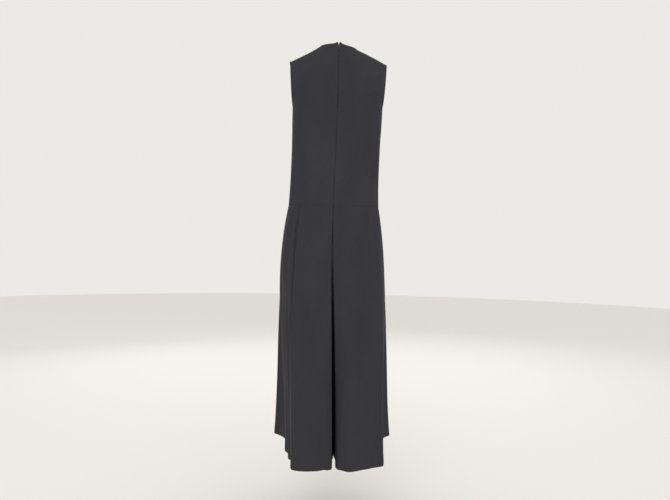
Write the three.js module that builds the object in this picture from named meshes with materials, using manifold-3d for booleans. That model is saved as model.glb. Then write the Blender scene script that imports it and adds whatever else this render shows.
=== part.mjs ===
// Sleeveless jumpsuit with culotte legs: a hollow, worn shell of seven cut pieces,
// with the tape, slider and pull tab of its centre-back zip.
// Millimetres, +Z up. The back faces +Y and the wearer's left is +X. The origin is
// where the shoulders hold the garment, at the middle of the shoulder seams.
import * as THREE from 'three';
import { mergeVertices } from 'three/addons/utils/BufferGeometryUtils.js';
import Module from 'manifold-3d';

// Driving sizes
const WALL = 1.6;              // crepe with its turnings, as one wall
const SEAM_GAP = 0.3;          // between two pieces at a seam
const ROUNDNESS = 0.83;        // exponent of the torso's rounded ring, 1 is an ellipse

const LEVEL = {                // heights of the garment's landmarks
  underarm: -164, dropWaist: -480, fork: -600, crotch: -690, hem: -1261,
};
const NECK = { half: 54, pointY: 8, backY: 47, frontY: -60 };   // the round neckline
const SHOULDER = { half: 152, tipY: 2, rightDrop: 5 };         // the right hangs lower
const SWELL = { seat: 8.3, hip: 21 };                           // fullness below the waist
// the ridge of the shoulders, carried on under the neck; the seam starts at the neck point
const RIDGE = [
  { at: 'neck', x: 0, z: 58 }, { at: 'neck point', x: 54, z: 27 },
  { at: 'mid shoulder', x: 103, z: 2 }, { at: 'shoulder tip', x: 152, z: -22 },
];

// the fitted body, a row for each level that a cutter would measure
const TORSO = [
  { at: 'dropped waist', z: -480, half: 142, back: 100, front: 98 },
  { at: 'high hip', z: -430, half: 140, back: 91, front: 96 },
  { at: 'waist', z: -370, half: 139, back: 87, front: 97 },
  { at: 'under the bust', z: -285, half: 139, back: 96, front: 108 },
  { at: 'bust', z: -215, half: 141, back: 106, front: 119 },
  { at: 'underarm', z: -164, half: 142, back: 109, front: 115 },
];
// how the hanging garment leans off a straight line, towards the wearer's left
const SWAY = [
  { z: -1261, x: -8 }, { z: -1055, x: -4 }, { z: -860, x: 1 }, { z: -700, x: 6 },
  { z: -580, x: 8 }, { z: -456, x: 7 }, { z: -300, x: 3 }, { z: -164, x: 0 }, { z: 30, x: 0 },
];
// pleats let out below the dropped waist: turn is degrees round from the centre back
const PLEATS = [
  { turn: 42, depth: 6.0, width: 3.6, fade: 0.42 },
  { turn: 56, depth: 5.0, width: 3.6, fade: 0.34 },
  { turn: 124, depth: 5.0, width: 3.6, fade: 0.34 },
  { turn: 138, depth: 6.0, width: 3.6, fade: 0.42 },
];
// each leg's hem, a row for each fold: turn is where it hangs from round the waist
// (0 centre back, 90 side, 180 centre front, 270 inseam), x and y its place at the hem
const LEFT_HEM = [
  { fold: 'centre back', turn: 0, x: 5, y: 58 },
  { fold: 'back corner', turn: 9, x: 18, y: 108 },
  { fold: 'back corner out', turn: 18, x: 36, y: 140 },
  { fold: 'back', turn: 29, x: 65, y: 151 },
  { fold: 'back panel edge', turn: 39, x: 102, y: 150 },
  { fold: 'first pleat', turn: 47, x: 124, y: 138 },
  { fold: 'second pleat', turn: 58, x: 129, y: 98 },
  { fold: 'side back', turn: 74, x: 139, y: 26 },
  { fold: 'side ridge', turn: 88, x: 158, y: -32 },
  { fold: 'side valley', turn: 97, x: 149, y: -80 },
  { fold: 'front flare', turn: 104, x: 174, y: -146 },
  { fold: 'front corner', turn: 112, x: 210, y: -190 },
  { fold: 'front pleat', turn: 122, x: 180, y: -213 },
  { fold: 'front valley', turn: 134, x: 130, y: -188 },
  { fold: 'front ridge', turn: 146, x: 92, y: -205 },
  { fold: 'front', turn: 157, x: 52, y: -192 },
  { fold: 'front inner corner', turn: 169, x: 19, y: -156 },
  { fold: 'centre front', turn: 180, x: 5, y: -104 },
  { fold: 'front inner leg', turn: 225, x: 0.8, y: -62 },
  { fold: 'inseam', turn: 270, x: 0.8, y: -20 },
  { fold: 'back inner leg', turn: 315, x: 0.8, y: 20 },
];
const RIGHT_HEM = [
  { fold: 'centre back', turn: 0, x: 4, y: 60 },
  { fold: 'back corner', turn: 9, x: 12, y: 106 },
  { fold: 'back corner out', turn: 18, x: 26, y: 138 },
  { fold: 'back', turn: 28, x: 49, y: 150 },
  { fold: 'back panel edge', turn: 38, x: 82, y: 134 },
  { fold: 'first pleat', turn: 49, x: 118, y: 115 },
  { fold: 'back ridge', turn: 60, x: 150, y: 94 },
  { fold: 'side back', turn: 75, x: 142, y: 32 },
  { fold: 'side ridge', turn: 88, x: 152, y: -32 },
  { fold: 'side valley', turn: 97, x: 148, y: -84 },
  { fold: 'front flare', turn: 104, x: 168, y: -148 },
  { fold: 'front corner', turn: 112, x: 194, y: -190 },
  { fold: 'front pleat', turn: 122, x: 166, y: -212 },
  { fold: 'front valley', turn: 134, x: 122, y: -190 },
  { fold: 'front ridge', turn: 146, x: 86, y: -203 },
  { fold: 'front', turn: 157, x: 48, y: -190 },
  { fold: 'front inner corner', turn: 169, x: 17, y: -154 },
  { fold: 'centre front', turn: 180, x: 5, y: -104 },
  { fold: 'front inner leg', turn: 225, x: 0.8, y: -60 },
  { fold: 'inseam', turn: 270, x: 0.8, y: -18 },
  { fold: 'back inner leg', turn: 315, x: 0.8, y: 22 },
];
// where the shell is divided into columns and rows
const NECK_COLUMNS = 5;
const SIDE_COLUMNS = 12;
const BODICE_ROWS = [0, 0.12, 0.28, 0.44, 0.58, 0.72, 0.86, 1];
const YOKE_ROWS = [0.1, 0.22, 0.35, 0.48, 0.61, 0.73, 0.84, 0.94, 1];
const LEG_LEVELS = [-480, -498, -520, -555, -600, -650, -710, -780, -860, -945, -1030, -1115,
  -1195, -1235, -1261];
const FORK_ROW = LEG_LEVELS.indexOf(LEVEL.fork);
const TURN_STEP = 6;
const INSEAM_STEP = 15;

// how far a leg falls while a pleat opens at the waist seam, and before it starts to fade
const PLEAT_FALL = { open: 0.03, hold: 0.06 };
const CROTCH_HALF = 0.05;        // half the width of the crotch seam's line

// zip: levels run from 0 at the dropped waist to 2 at the neck
const ZIP = {
  half: 12, thick: 1.0, foot: 0.02, top: 1.86, notchHalf: 3.6, notchRows: 0.94, searchTurn: 20,
};
// the slider stands where the seam starts to open, and its tab lies on the cloth below it
const SLIDER_LEVEL = { foot: 1.945, top: 2, tabFoot: 1.835 };
const PIN = { radius: 0.6, length: 5.4, out: 2.3, up: 1.2 };
// the slider's blocks in its own frame: size and middle, y off the cloth and z up along it
const SLIDER_BLOCKS = [
  { part: 'plate behind the seam', width: 7, depth: 2.6, height: 8, y: -4.1, z: 4.4 },
  { part: 'neck through the seam', width: 1.6, depth: 4.4, height: 2.4, y: -0.8, z: 6.9 },
  { part: 'lug for the pin', width: 1.8, depth: 2.6, height: 2.2, y: 1.9, z: 1.4 },
  { part: 'bridge', width: 1.8, depth: 1.0, height: 7.0, y: 1.1, z: 4.4 },
];
// the tab hangs from the pin: z down from it, with two eyes beside the slider's lug
const TAB = { top: -1.4, length: 21, half: 3.9, thick: 1.0, set: -0.2, shoulder: 0.62, belly: 0.9 };
const TAB_WINDOW = { top: -8, rim: 1.7, foot: 2.2, cut: 4 };
const EYE = { outer: 1.5, bore: 0.95, boreLength: 12, half: 0.6, x: 1.75 };
const STEM = { height: 2.6, z: -1.8 };
const ROUND_SIDES = 24;
const CURVE_STEPS = 10;
const MERGE = 1e-4;              // points closer than this are one

const FINISH = {
  cloth: { color: 0x2b2b2d, roughness: 0.9, metalness: 0 },
  tape: { color: 0x1c1c1e, roughness: 0.95, metalness: 0 },
  slider: { color: 0x8c8c90, roughness: 0.35, metalness: 0.8 },
  tab: { color: 0x2e2e31, roughness: 0.45, metalness: 0.4 },
};

// Small helpers
const rad = THREE.MathUtils.degToRad;
const lerp = THREE.MathUtils.lerp;
const clamp01 = v => Math.min(Math.max(v, 0), 1);
const smooth = v => { const t = clamp01(v); return t * t * (3 - 2 * t); };
const signedPower = (v, e) => Math.sign(v) * Math.abs(v) ** e;
const vec = (x, y, z) => new THREE.Vector3(x, y, z);

function hermite(p0, m0, p1, m1, t) {
  const a = t * t * t, b = t * t;
  return (2 * a - 3 * b + 1) * p0 + (a - 2 * b + t) * m0 + (3 * b - 2 * a) * p1 + (a - b) * m1;
}

function hermitePoint(p0, m0, p1, m1, t) {
  return vec(...['x', 'y', 'z'].map(k => hermite(p0[k], m0[k], p1[k], m1[k], t)));
}

// a smooth curve through one column of a table, as a function of another column
function tableCurve(rows, along, value) {
  const sorted = [...rows].sort((a, b) => a[along] - b[along]);
  const xs = sorted.map(r => r[along]);
  const ys = sorted.map(r => r[value]);
  const slopes = xs.map((_, i) => {
    const a = Math.max(i - 1, 0), b = Math.min(i + 1, xs.length - 1);
    return (ys[b] - ys[a]) / (xs[b] - xs[a]);
  });
  return at => {
    let i = 0;
    while (i < xs.length - 2 && at > xs[i + 1]) i++;
    const h = xs[i + 1] - xs[i];
    return hermite(ys[i], slopes[i] * h, ys[i + 1], slopes[i + 1] * h, clamp01((at - xs[i]) / h));
  };
}

// the same for a table that runs once round, in degrees
function roundCurve(rows, value) {
  const turned = by => rows.map(r => ({ ...r, turn: r.turn + by }));
  return tableCurve([...turned(-360), ...rows, ...turned(360)], 'turn', value);
}

const sway = tableCurve(SWAY, 'z', 'x');
const torso = {
  half: tableCurve(TORSO, 'z', 'half'),
  back: tableCurve(TORSO, 'z', 'back'),
  front: tableCurve(TORSO, 'z', 'front'),
};

// The bodice's outer face
// a point on the torso's ring: turn is degrees from the centre back, round by the left side
function ring(turn, z) {
  const c = Math.cos(rad(turn)), s = Math.sin(rad(turn));
  const depth = c > 0 ? torso.back(z) : torso.front(z);
  return vec(torso.half(z) * signedPower(Math.abs(s) < 1e-9 ? 0 : s, ROUNDNESS),
    depth * signedPower(Math.abs(c) < 1e-9 ? 0 : c, ROUNDNESS), z);
}

// turn at which the neck point lies, so that the shoulder seam starts on a column
const NECK_TURN = THREE.MathUtils.radToDeg(
  Math.asin((NECK.half / SHOULDER.half) ** (1 / ROUNDNESS)));

const ridgeHeight = tableCurve(RIDGE, 'x', 'z');
function ridgePoint(fromCentre) {
  const x = SHOULDER.half * Math.sin(rad(fromCentre)) ** ROUNDNESS;
  return vec(x, lerp(NECK.pointY, SHOULDER.tipY, x / SHOULDER.half), ridgeHeight(x));
}

// how a column leaves the underarm level and how it arrives at the ridge
const LEAVE = {
  backCentre: vec(0, 8, 150), backEdge: vec(0, 230, 15),
  frontCentre: vec(0, 6, 110), frontEdge: vec(-4, -200, 15),
};
const ARRIVE = {
  back: vec(0, -165, 40), backTip: vec(8, -200, 50),
  front: vec(0, 125, 55), frontTip: vec(14, 170, 60),
};

// a point between the underarm (share 0) and the ridge (share 1)
function yokePoint(turn, share) {
  const back = Math.cos(rad(turn)) > 0;
  const fromBack = turn > 180 ? 360 - turn : turn;
  const fromCentre = back ? fromBack : 180 - fromBack;
  const edge = (fromCentre / 90) ** 4;
  const [leaveA, leaveB, arriveA, arriveB] = back
    ? [LEAVE.backCentre, LEAVE.backEdge, ARRIVE.back, ARRIVE.backTip]
    : [LEAVE.frontCentre, LEAVE.frontEdge, ARRIVE.front, ARRIVE.frontTip];
  const foot = ring(turn, LEVEL.underarm);
  foot.x = Math.abs(foot.x);
  const p = hermitePoint(foot, leaveA.clone().lerp(leaveB, edge), ridgePoint(fromCentre),
    arriveA.clone().lerp(arriveB, edge), share);
  if (turn > 180) {
    p.z -= SHOULDER.rightDrop * share * p.x / SHOULDER.half;
    p.x = -p.x;
  }
  return p;
}

// share of the way to the ridge at which the round neckline cuts a column
const neckShares = new Map();
function neckShare(turn) {
  if (neckShares.has(turn)) return neckShares.get(turn);
  const back = Math.cos(rad(turn)) > 0;
  const depth = (back ? NECK.backY : NECK.frontY) - NECK.pointY;
  let low = 0, high = 1;
  for (let i = 0; i < 40; i++) {
    const mid = (low + high) / 2;
    const p = yokePoint(turn, mid);
    const inside = (p.x / NECK.half) ** 2 + ((p.y - NECK.pointY) / depth) ** 2 < 1;
    low = inside ? low : mid;
    high = inside ? mid : high;
  }
  neckShares.set(turn, low);
  return low;
}

// level 0 is the dropped waist, 1 the underarm and 2 the top edge
function bodicePoint(turn, level) {
  if (level <= 1) return ring(turn, lerp(LEVEL.dropWaist, LEVEL.underarm, level));
  return yokePoint(turn, (level - 1) * neckShare(turn));
}

// the side seam's point is on the back piece for its armhole and on the front for its own
function sidePoint(turn, level, back) {
  const nudge = 1e-6 * (back ? -1 : 1) * (turn > 180 ? -1 : 1);
  return bodicePoint(turn + (Math.abs(turn % 180 - 90) < 1e-6 ? nudge : 0), level);
}

// A leg's outer face
const WAIST_Z = LEVEL.dropWaist;
const fall = z => (WAIST_Z - z) / (WAIST_Z - LEVEL.hem);
const FORK_FALL = fall(LEVEL.fork);
const SWELL_SCALE = 27 / 4;      // brings t(1 - t)² up to 1 where it is largest

function pleatDepth(turn, t) {
  return PLEATS.reduce((sum, p) => {
    const across = (turn - p.turn) / p.width;
    const along = smooth(t / PLEAT_FALL.open) * (1 - smooth((t - PLEAT_FALL.hold) / p.fade));
    return sum - p.depth * along * Math.exp(-across * across);
  }, 0);
}

// from the centre back (turn 0) round the outside to the centre front (turn 180)
function outerLegPoint(hem, turn, z) {
  const t = fall(z);
  const top = ring(turn, WAIST_Z);
  const out = vec(top.x, top.y, 0).normalize();
  const full = lerp(SWELL.seat, SWELL.hip, Math.sin(rad(turn)) ** 4);
  const swell = full * SWELL_SCALE * t * (1 - t) ** 2 + pleatDepth(turn, t);
  const p = vec(lerp(top.x, hem.x(turn), t), lerp(top.y, hem.y(turn), t), z)
    .addScaledVector(out, swell);
  if (turn === 0 || turn === 180) {
    p.x = hem.x(turn) * clamp01((t - FORK_FALL) / (1 - FORK_FALL));
  }
  return p;
}

// from the centre front (turn 180) under the crotch to the centre back (turn 360)
function innerLegPoint(hem, turn, row) {
  if (turn === 180) return outerLegPoint(hem, 180, LEG_LEVELS[row]);
  if (turn === 360) return outerLegPoint(hem, 0, LEG_LEVELS[row]);
  const a = rad(turn - 180);
  const front = outerLegPoint(hem, 180, LEVEL.fork).y;
  const back = outerLegPoint(hem, 0, LEVEL.fork).y;
  const topY = (front + back) / 2 - (back - front) / 2 * Math.cos(a);
  const topZ = LEVEL.fork - (LEVEL.fork - LEVEL.crotch) * Math.sin(a);
  const t = (LEVEL.fork - LEG_LEVELS[row]) / (LEVEL.fork - LEVEL.hem);
  return vec(lerp(CROTCH_HALF, hem.x(turn), t), lerp(topY, hem.y(turn), t),
    lerp(topZ, LEVEL.hem, t));
}

// Grids of points
const range = (from, to, step) =>
  Array.from({ length: Math.round((to - from) / step) + 1 }, (_, i) => from + i * step);

function quarterTurns() {
  const neck = range(0, NECK_COLUMNS, 1).map(i => NECK_TURN * i / NECK_COLUMNS);
  const side = range(1, SIDE_COLUMNS, 1).map(i => lerp(NECK_TURN, 90, i / SIDE_COLUMNS));
  return [...neck, ...side];
}

function legTurns(from, to) {
  const near = PLEATS.flatMap(p => [-2.6, 0, 2.6].map(d => p.turn + d));
  const even = range(from, to, TURN_STEP).filter(v =>
    v === from || v === to || near.every(n => Math.abs(n - v) > 2));
  return [...even, ...near.filter(n => n > from && n < to)].sort((a, b) => a - b);
}

const bodiceLevels = [...BODICE_ROWS, ...YOKE_ROWS.map(v => 1 + v)].reverse();

function bodiceGrid(turns, back) {
  return bodiceLevels.map(level => turns.map(turn => {
    const p = sidePoint(turn, level, back);
    // the top of the centre-back seam stands open above the slider
    if (turn === 0 || turn === 360) {
      const open = clamp01((level - 1 - ZIP.notchRows) / (1 - ZIP.notchRows));
      p.x = ZIP.notchHalf * open * (turn === 0 ? 1 : -1);
    }
    return p;
  }));
}

function legGrids(rows, from, middle, to) {
  const hem = { x: roundCurve(rows, 'x'), y: roundCurve(rows, 'y') };
  const outer = LEG_LEVELS.map(z =>
    legTurns(from, middle).map(turn => outerLegPoint(hem, turn, z)));
  const inner = LEG_LEVELS.map((_, row) => row).slice(FORK_ROW).map(row =>
    range(Math.min(to[0], to[1]), Math.max(to[0], to[1]), INSEAM_STEP)
      .map(turn => innerLegPoint(hem, turn, row)));
  return { outer, inner };
}

// From grids to solids
const quarter = quarterTurns();
const backTurns = quarter;
const frontTurns = [...quarter.map(v => 180 - v).reverse(), ...quarter.slice(1).map(v => 180 + v)];
const rightTurns = quarter.map(v => 360 - v).reverse();

const left = { back: legGrids(LEFT_HEM, 0, 90, [270, 360]),
  front: legGrids(LEFT_HEM, 90, 180, [180, 270]) };
const right = { back: legGrids(RIGHT_HEM, 0, 90, [270, 360]),
  front: legGrids(RIGHT_HEM, 90, 180, [180, 270]) };

// each piece: its grids, its side (-1 is built mirrored), its inset seams, as the first or
// last column of its first grid (side seam) and of its second (inseam)
const PIECES = [
  { name: 'bodice_back_left', side: 1, shift: 1, grids: [bodiceGrid(backTurns, true)],
    inset: [['last']], bodice: true },
  { name: 'bodice_front', side: 1, shift: 0, grids: [bodiceGrid(frontTurns, false)],
    inset: [['first', 'last']], bodice: true },
  { name: 'bodice_back_right', side: 1, shift: -1, grids: [bodiceGrid(rightTurns, true)],
    inset: [['first']], bodice: true },
  { name: 'leg_back_left', side: 1, shift: 1, grids: [left.back.outer, left.back.inner],
    inset: [['last'], ['first']] },
  { name: 'leg_front_left', side: 1, shift: 1, grids: [left.front.outer, left.front.inner],
    inset: [['first'], ['last']] },
  { name: 'leg_back_right', side: -1, shift: -1, grids: [right.back.outer, right.back.inner],
    inset: [['last'], ['first']] },
  { name: 'leg_front_right', side: -1, shift: -1, grids: [right.front.outer, right.front.inner],
    inset: [['first'], ['last']] },
];
for (const piece of PIECES) {
  if (piece.side < 0) piece.grids.forEach(g => g.forEach(r => r.forEach(p => { p.x = -p.x; })));
}

const keyOf = p => [p.x, p.y, p.z].map(v => Math.round(v * 100)).join(',');

// triangles of a grid whose rows run down and whose columns run clockwise from above
function gridTriangles(grid, flipped) {
  const list = [];
  for (let i = 0; i + 1 < grid.length; i++) {
    for (let j = 0; j + 1 < grid[i].length; j++) {
      const [a, b, c, d] = [grid[i][j], grid[i][j + 1], grid[i + 1][j], grid[i + 1][j + 1]];
      for (const t of [[a, c, b], [b, c, d]]) {
        list.push(flipped ? t : [t[0], t[2], t[1]]);
      }
    }
  }
  return list;
}

// outward normals, shared by all the pieces that meet at a point
const normals = new Map();
for (const piece of PIECES) {
  for (const grid of piece.grids) {
    for (const [a, b, c] of gridTriangles(grid, piece.side < 0)) {
      const n = b.clone().sub(a).cross(c.clone().sub(a));
      for (const p of [a, b, c]) {
        const key = keyOf(p);
        if (!normals.has(key)) normals.set(key, vec(0, 0, 0));
        normals.get(key).add(n);
      }
    }
  }
}

function normalAt(p, levelSeam) {
  const n = normals.get(keyOf(p)).clone();
  if (levelSeam) n.z = 0;
  if (Math.abs(p.x) < 1e-6) n.x = 0;
  return n.normalize();
}

// closes a sheet of triangles into a wall: both faces, and a strip along each open edge
function wall(triangles, thick, drop) {
  const index = new Map();
  const outer = [], inner = [], faces = [];
  const id = v => {
    const key = [v.p.x, v.p.y, v.p.z].map(c => Math.round(c * 1000)).join(',');
    if (!index.has(key)) {
      index.set(key, outer.length);
      outer.push(v.p.clone().addScaledVector(v.n, -drop));
      inner.push(v.p.clone().addScaledVector(v.n, -drop - thick));
    }
    return index.get(key);
  };
  const edges = new Map();
  for (const t of triangles) {
    const [a, b, c] = t.map(id);
    if (a === b || b === c || c === a) continue;
    faces.push([a, b, c]);
    for (const [u, v] of [[a, b], [b, c], [c, a]]) {
      if (edges.has(v + '_' + u)) edges.delete(v + '_' + u);
      else edges.set(u + '_' + v, [u, v]);
    }
  }
  const n = outer.length;
  const indices = [];
  for (const [a, b, c] of faces) indices.push(a, b, c, a + n, c + n, b + n);
  for (const [u, v] of edges.values()) indices.push(v, u, u + n, v, u + n, v + n);
  const geometry = new THREE.BufferGeometry();
  geometry.setAttribute('position', new THREE.Float32BufferAttribute(
    [...outer, ...inner].flatMap(p => [p.x, p.y, p.z]), 3));
  geometry.setIndex(indices);
  return geometry;
}

// a grid with its normals, set back by half the gap where it meets another piece
function prepared(piece, grid, inset, top) {
  const half = SEAM_GAP / 2;
  const cells = grid.map((row, i) => row.map(p => {
    const seam = (top && !piece.bodice && i === 0)
      || (piece.bodice && i === grid.length - 1);
    return { p: p.clone(), n: normalAt(p, seam) };
  }));
  const pull = (cell, next) => {
    const step = next.p.clone().sub(cell.p);
    cell.p.addScaledVector(step.normalize(), half);
  };
  for (const row of cells) {
    if (inset.includes('first')) pull(row[0], row[1]);
    if (inset.includes('last')) pull(row[row.length - 1], row[row.length - 2]);
  }
  if (piece.bodice) {
    cells[cells.length - 1].forEach(c => { c.p.z += half; });
    // the shoulder seam runs from the neck columns outwards along the top row
    cells[0].forEach((c, j) => {
      if (Math.abs(grid[0][j].x) >= NECK.half - 0.01) pull(c, cells[1][j]);
    });
  } else if (top) {
    cells[0].forEach(c => { c.p.z -= half; });
  }
  cells.flat().forEach(c => { c.p.x += half * piece.shift + sway(c.p.z); });
  return cells;
}

function pieceGeometry(piece) {
  const triangles = piece.grids.flatMap((grid, k) => {
    const cells = prepared(piece, grid, piece.inset[k], k === 0);
    return gridTriangles(cells, piece.side < 0);
  });
  return wall(triangles, WALL, 0);
}

// Zip
// the turn at which the back bodice is a given distance from its centre line
function turnAt(x, level) {
  let low = 0, high = ZIP.searchTurn;
  for (let i = 0; i < 40; i++) {
    const mid = (low + high) / 2;
    const short = bodicePoint(mid, level).x < x;
    low = short ? mid : low;
    high = short ? high : mid;
  }
  return low;
}

function tapeGeometry() {
  const across = [-1, -0.5, 0, 0.5, 1];
  const between = bodiceLevels.filter(v => v < ZIP.top && v > 0);
  const cells = [ZIP.top, ...between, ZIP.foot].map(level => across.map(a => {
    const turn = turnAt(Math.abs(a) * ZIP.half, level);
    const p = bodicePoint(turn, level);
    const up = bodicePoint(turn, level + 0.01).sub(p);
    const along = bodicePoint(turn + 0.5, level).sub(p);
    const n = up.cross(along).normalize();
    if (n.y < 0) n.negate();
    const s = a < 0 ? -1 : 1;
    return { p: vec(p.x * s + sway(p.z), p.y, p.z), n: vec(a === 0 ? 0 : n.x * s, n.y, n.z)
      .normalize() };
  }));
  return wall(gridTriangles(cells, false), ZIP.thick, WALL + SEAM_GAP);
}

// lean of the back's centre line between two levels, as a turn about +X
function leanBetween(low, high) {
  const up = bodicePoint(0, high).sub(bodicePoint(0, low));
  return Math.atan2(-up.y, up.z);
}
const sliderFoot = bodicePoint(0, SLIDER_LEVEL.foot);
const sliderLean = leanBetween(SLIDER_LEVEL.foot, SLIDER_LEVEL.top);
const tabLean = leanBetween(SLIDER_LEVEL.tabFoot, SLIDER_LEVEL.foot);

const kernel = await Module();
kernel.setup();

// a closed three.js geometry as a solid that manifold-3d can join and cut
function solid(geometry) {
  geometry.deleteAttribute('normal');
  geometry.deleteAttribute('uv');
  const closed = mergeVertices(geometry, MERGE);
  return new kernel.Manifold(new kernel.Mesh({
    numProp: 3,
    vertProperties: new Float32Array(closed.attributes.position.array),
    triVerts: new Uint32Array(closed.index.array),
  }));
}

function joined(solids) {
  return solids.reduce((whole, next) => whole.add(next));
}

function geometryOf(result) {
  const mesh = result.getMesh();
  const geometry = new THREE.BufferGeometry();
  geometry.setAttribute('position', new THREE.Float32BufferAttribute(mesh.vertProperties, 3));
  geometry.setIndex([...mesh.triVerts]);
  return mergeVertices(geometry, MERGE);
}

function block({ width, depth, height, x = 0, y, z }) {
  return solid(new THREE.BoxGeometry(width, depth, height).translate(x, y, z));
}

// a round rod that lies along X
function rod(radius, length, x, y, z) {
  return solid(new THREE.CylinderGeometry(radius, radius, length, ROUND_SIDES)
    .rotateZ(Math.PI / 2).translate(x, y, z));
}

function sliderGeometry() {
  const pin = rod(PIN.radius, PIN.length, 0, PIN.out, PIN.up);
  return geometryOf(joined([...SLIDER_BLOCKS.map(block), pin]));
}

// a standing drop that is round at its foot, thick across Y about the tab's own middle
function drop(half, top, foot, thick) {
  const middle = lerp(foot, top, 0.4);
  const shape = new THREE.Shape();
  shape.moveTo(half * TAB.shoulder, top);
  shape.bezierCurveTo(half * TAB.belly, middle, half, foot + half, 0, foot);
  shape.bezierCurveTo(-half, foot + half, -half * TAB.belly, middle, -half * TAB.shoulder, top);
  shape.closePath();
  return solid(new THREE.ExtrudeGeometry(shape,
    { depth: thick, bevelEnabled: false, curveSegments: CURVE_STEPS })
    .rotateX(Math.PI / 2).translate(0, TAB.set + thick / 2, 0));
}

function tabGeometry() {
  const window = drop(TAB.half - TAB_WINDOW.rim, TAB_WINDOW.top, TAB_WINDOW.foot - TAB.length,
    TAB_WINDOW.cut);
  const plate = drop(TAB.half, TAB.top, -TAB.length, TAB.thick).subtract(window);
  const eyes = [-1, 1].map(side => rod(EYE.outer, EYE.half * 2, side * EYE.x, 0, 0));
  const stems = [-1, 1].map(side => block({
    width: EYE.half * 2, depth: TAB.thick, height: STEM.height,
    x: side * EYE.x, y: TAB.set, z: STEM.z,
  }));
  const bore = rod(EYE.bore, EYE.boreLength, 0, 0, 0);
  return geometryOf(joined([plate, ...eyes, ...stems]).subtract(bore));
}

// The garment
const garment = new THREE.Group();
function add(name, geometry, finish, place = garment) {
  const mesh = new THREE.Mesh(geometry, new THREE.MeshStandardMaterial(finish));
  mesh.name = name;
  place.add(mesh);
  return mesh;
}

for (const piece of PIECES) add(piece.name, pieceGeometry(piece), FINISH.cloth);
add('zip_tape', tapeGeometry(), FINISH.tape);

const sliderFrame = new THREE.Group();
sliderFrame.position.set(sliderFoot.x + sway(sliderFoot.z), sliderFoot.y, sliderFoot.z);
sliderFrame.rotation.x = sliderLean;
garment.add(sliderFrame);
add('zip_slider', sliderGeometry(), FINISH.slider, sliderFrame);
const tab = add('zip_pull_tab', tabGeometry(), FINISH.tab, sliderFrame);
tab.position.set(0, PIN.out, PIN.up);
tab.rotation.x = tabLean - sliderLean;

export default garment;
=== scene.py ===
# %% [markdown]
# # A sleeveless culotte jumpsuit
#
# The real garment is seven cut pieces of matt charcoal crepe: two back bodices joined by a
# concealed zip, one front bodice, and a back and a front for each wide leg. It is shown in
# the form that it has when it is worn, with nothing inside it. This file dresses the packed
# model: it starts from the fixed frame and makes a thin, finely folded shell for each piece.

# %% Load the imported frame
import math

import bmesh
import bpy
import numpy as np
from mathutils import Matrix, Vector


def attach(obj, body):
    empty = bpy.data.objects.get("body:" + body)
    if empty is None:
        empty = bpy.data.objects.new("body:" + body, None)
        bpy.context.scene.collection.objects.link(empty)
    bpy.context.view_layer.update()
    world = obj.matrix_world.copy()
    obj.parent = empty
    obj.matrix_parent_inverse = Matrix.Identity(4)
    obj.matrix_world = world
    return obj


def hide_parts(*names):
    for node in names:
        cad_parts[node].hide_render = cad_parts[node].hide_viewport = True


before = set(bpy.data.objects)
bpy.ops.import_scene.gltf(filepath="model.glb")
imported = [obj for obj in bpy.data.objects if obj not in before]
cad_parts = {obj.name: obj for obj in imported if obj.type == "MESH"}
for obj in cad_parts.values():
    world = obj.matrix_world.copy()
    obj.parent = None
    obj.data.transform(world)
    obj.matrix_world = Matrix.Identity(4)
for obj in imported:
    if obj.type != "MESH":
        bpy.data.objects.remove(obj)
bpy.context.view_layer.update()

MM = 0.001                      # the cutter's sizes below are in millimetres

# %% [markdown]
# ## Camera
#
# The photograph was taken level, from about 1.8 m behind the garment and at hip height,
# with the picture turned by one degree. A camera placed at that distance gives the same
# perspective, which matters here because the front hem is nearly half a metre further
# away than the back one, so it shows higher in the picture.

# %% Camera
CAMERA_BACK, CAMERA_HEIGHT = 1.8, -0.615
FOCAL_PIXELS, PICTURE_WIDTH, SENSOR = 567, 670, 36.0
ROLL = math.radians(1.05)

camera_data = bpy.data.cameras.new("studio_camera")
camera_data.sensor_width = SENSOR
camera_data.lens = SENSOR * FOCAL_PIXELS / PICTURE_WIDTH
camera = bpy.data.objects.new("studio_camera", camera_data)
bpy.context.collection.objects.link(camera)
facing_forward = Matrix.Rotation(math.pi, 4, "Z") @ Matrix.Rotation(math.pi / 2, 4, "X")
camera.matrix_world = (Matrix.Translation((0, CAMERA_BACK, CAMERA_HEIGHT))
                       @ facing_forward @ Matrix.Rotation(ROLL, 4, "Z"))
bpy.context.scene.camera = camera
print("lens", round(camera_data.lens, 2), "mm")

# %% [markdown]
# ## Floor and studio light
#
# The room is left out. A plain pale floor catches a faint shadow. Black cloth shows its
# folds only through soft highlights, so the light comes from large panels: a main one
# behind the camera's left shoulder, a weaker one at its right, and two at the front so
# that the far side reads as well. A pale world fills the rest.

# %% Floor, world and soft panels
FLOOR_HEIGHT, FLOOR_RADIUS = -1.455, 9.0

bpy.ops.mesh.primitive_circle_add(vertices=96, radius=FLOOR_RADIUS, fill_type="NGON",
                                  location=(0, 0, FLOOR_HEIGHT))
floor = bpy.context.object
floor.name = "floor"
floor_finish = bpy.data.materials.new("pale_floor")
floor_finish.use_nodes = True
floor_shader = floor_finish.node_tree.nodes["Principled BSDF"]
floor_shader.inputs["Base Color"].default_value = (0.86, 0.845, 0.82, 1)
floor_shader.inputs["Roughness"].default_value = 0.7
floor.data.materials.append(floor_finish)

world = bpy.data.worlds.new("studio")
world.use_nodes = True
world.node_tree.nodes["Background"].inputs["Color"].default_value = (0.90, 0.88, 0.855, 1)
world.node_tree.nodes["Background"].inputs["Strength"].default_value = 0.93
bpy.context.scene.world = world
bpy.context.scene.view_settings.view_transform = "Standard"


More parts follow.
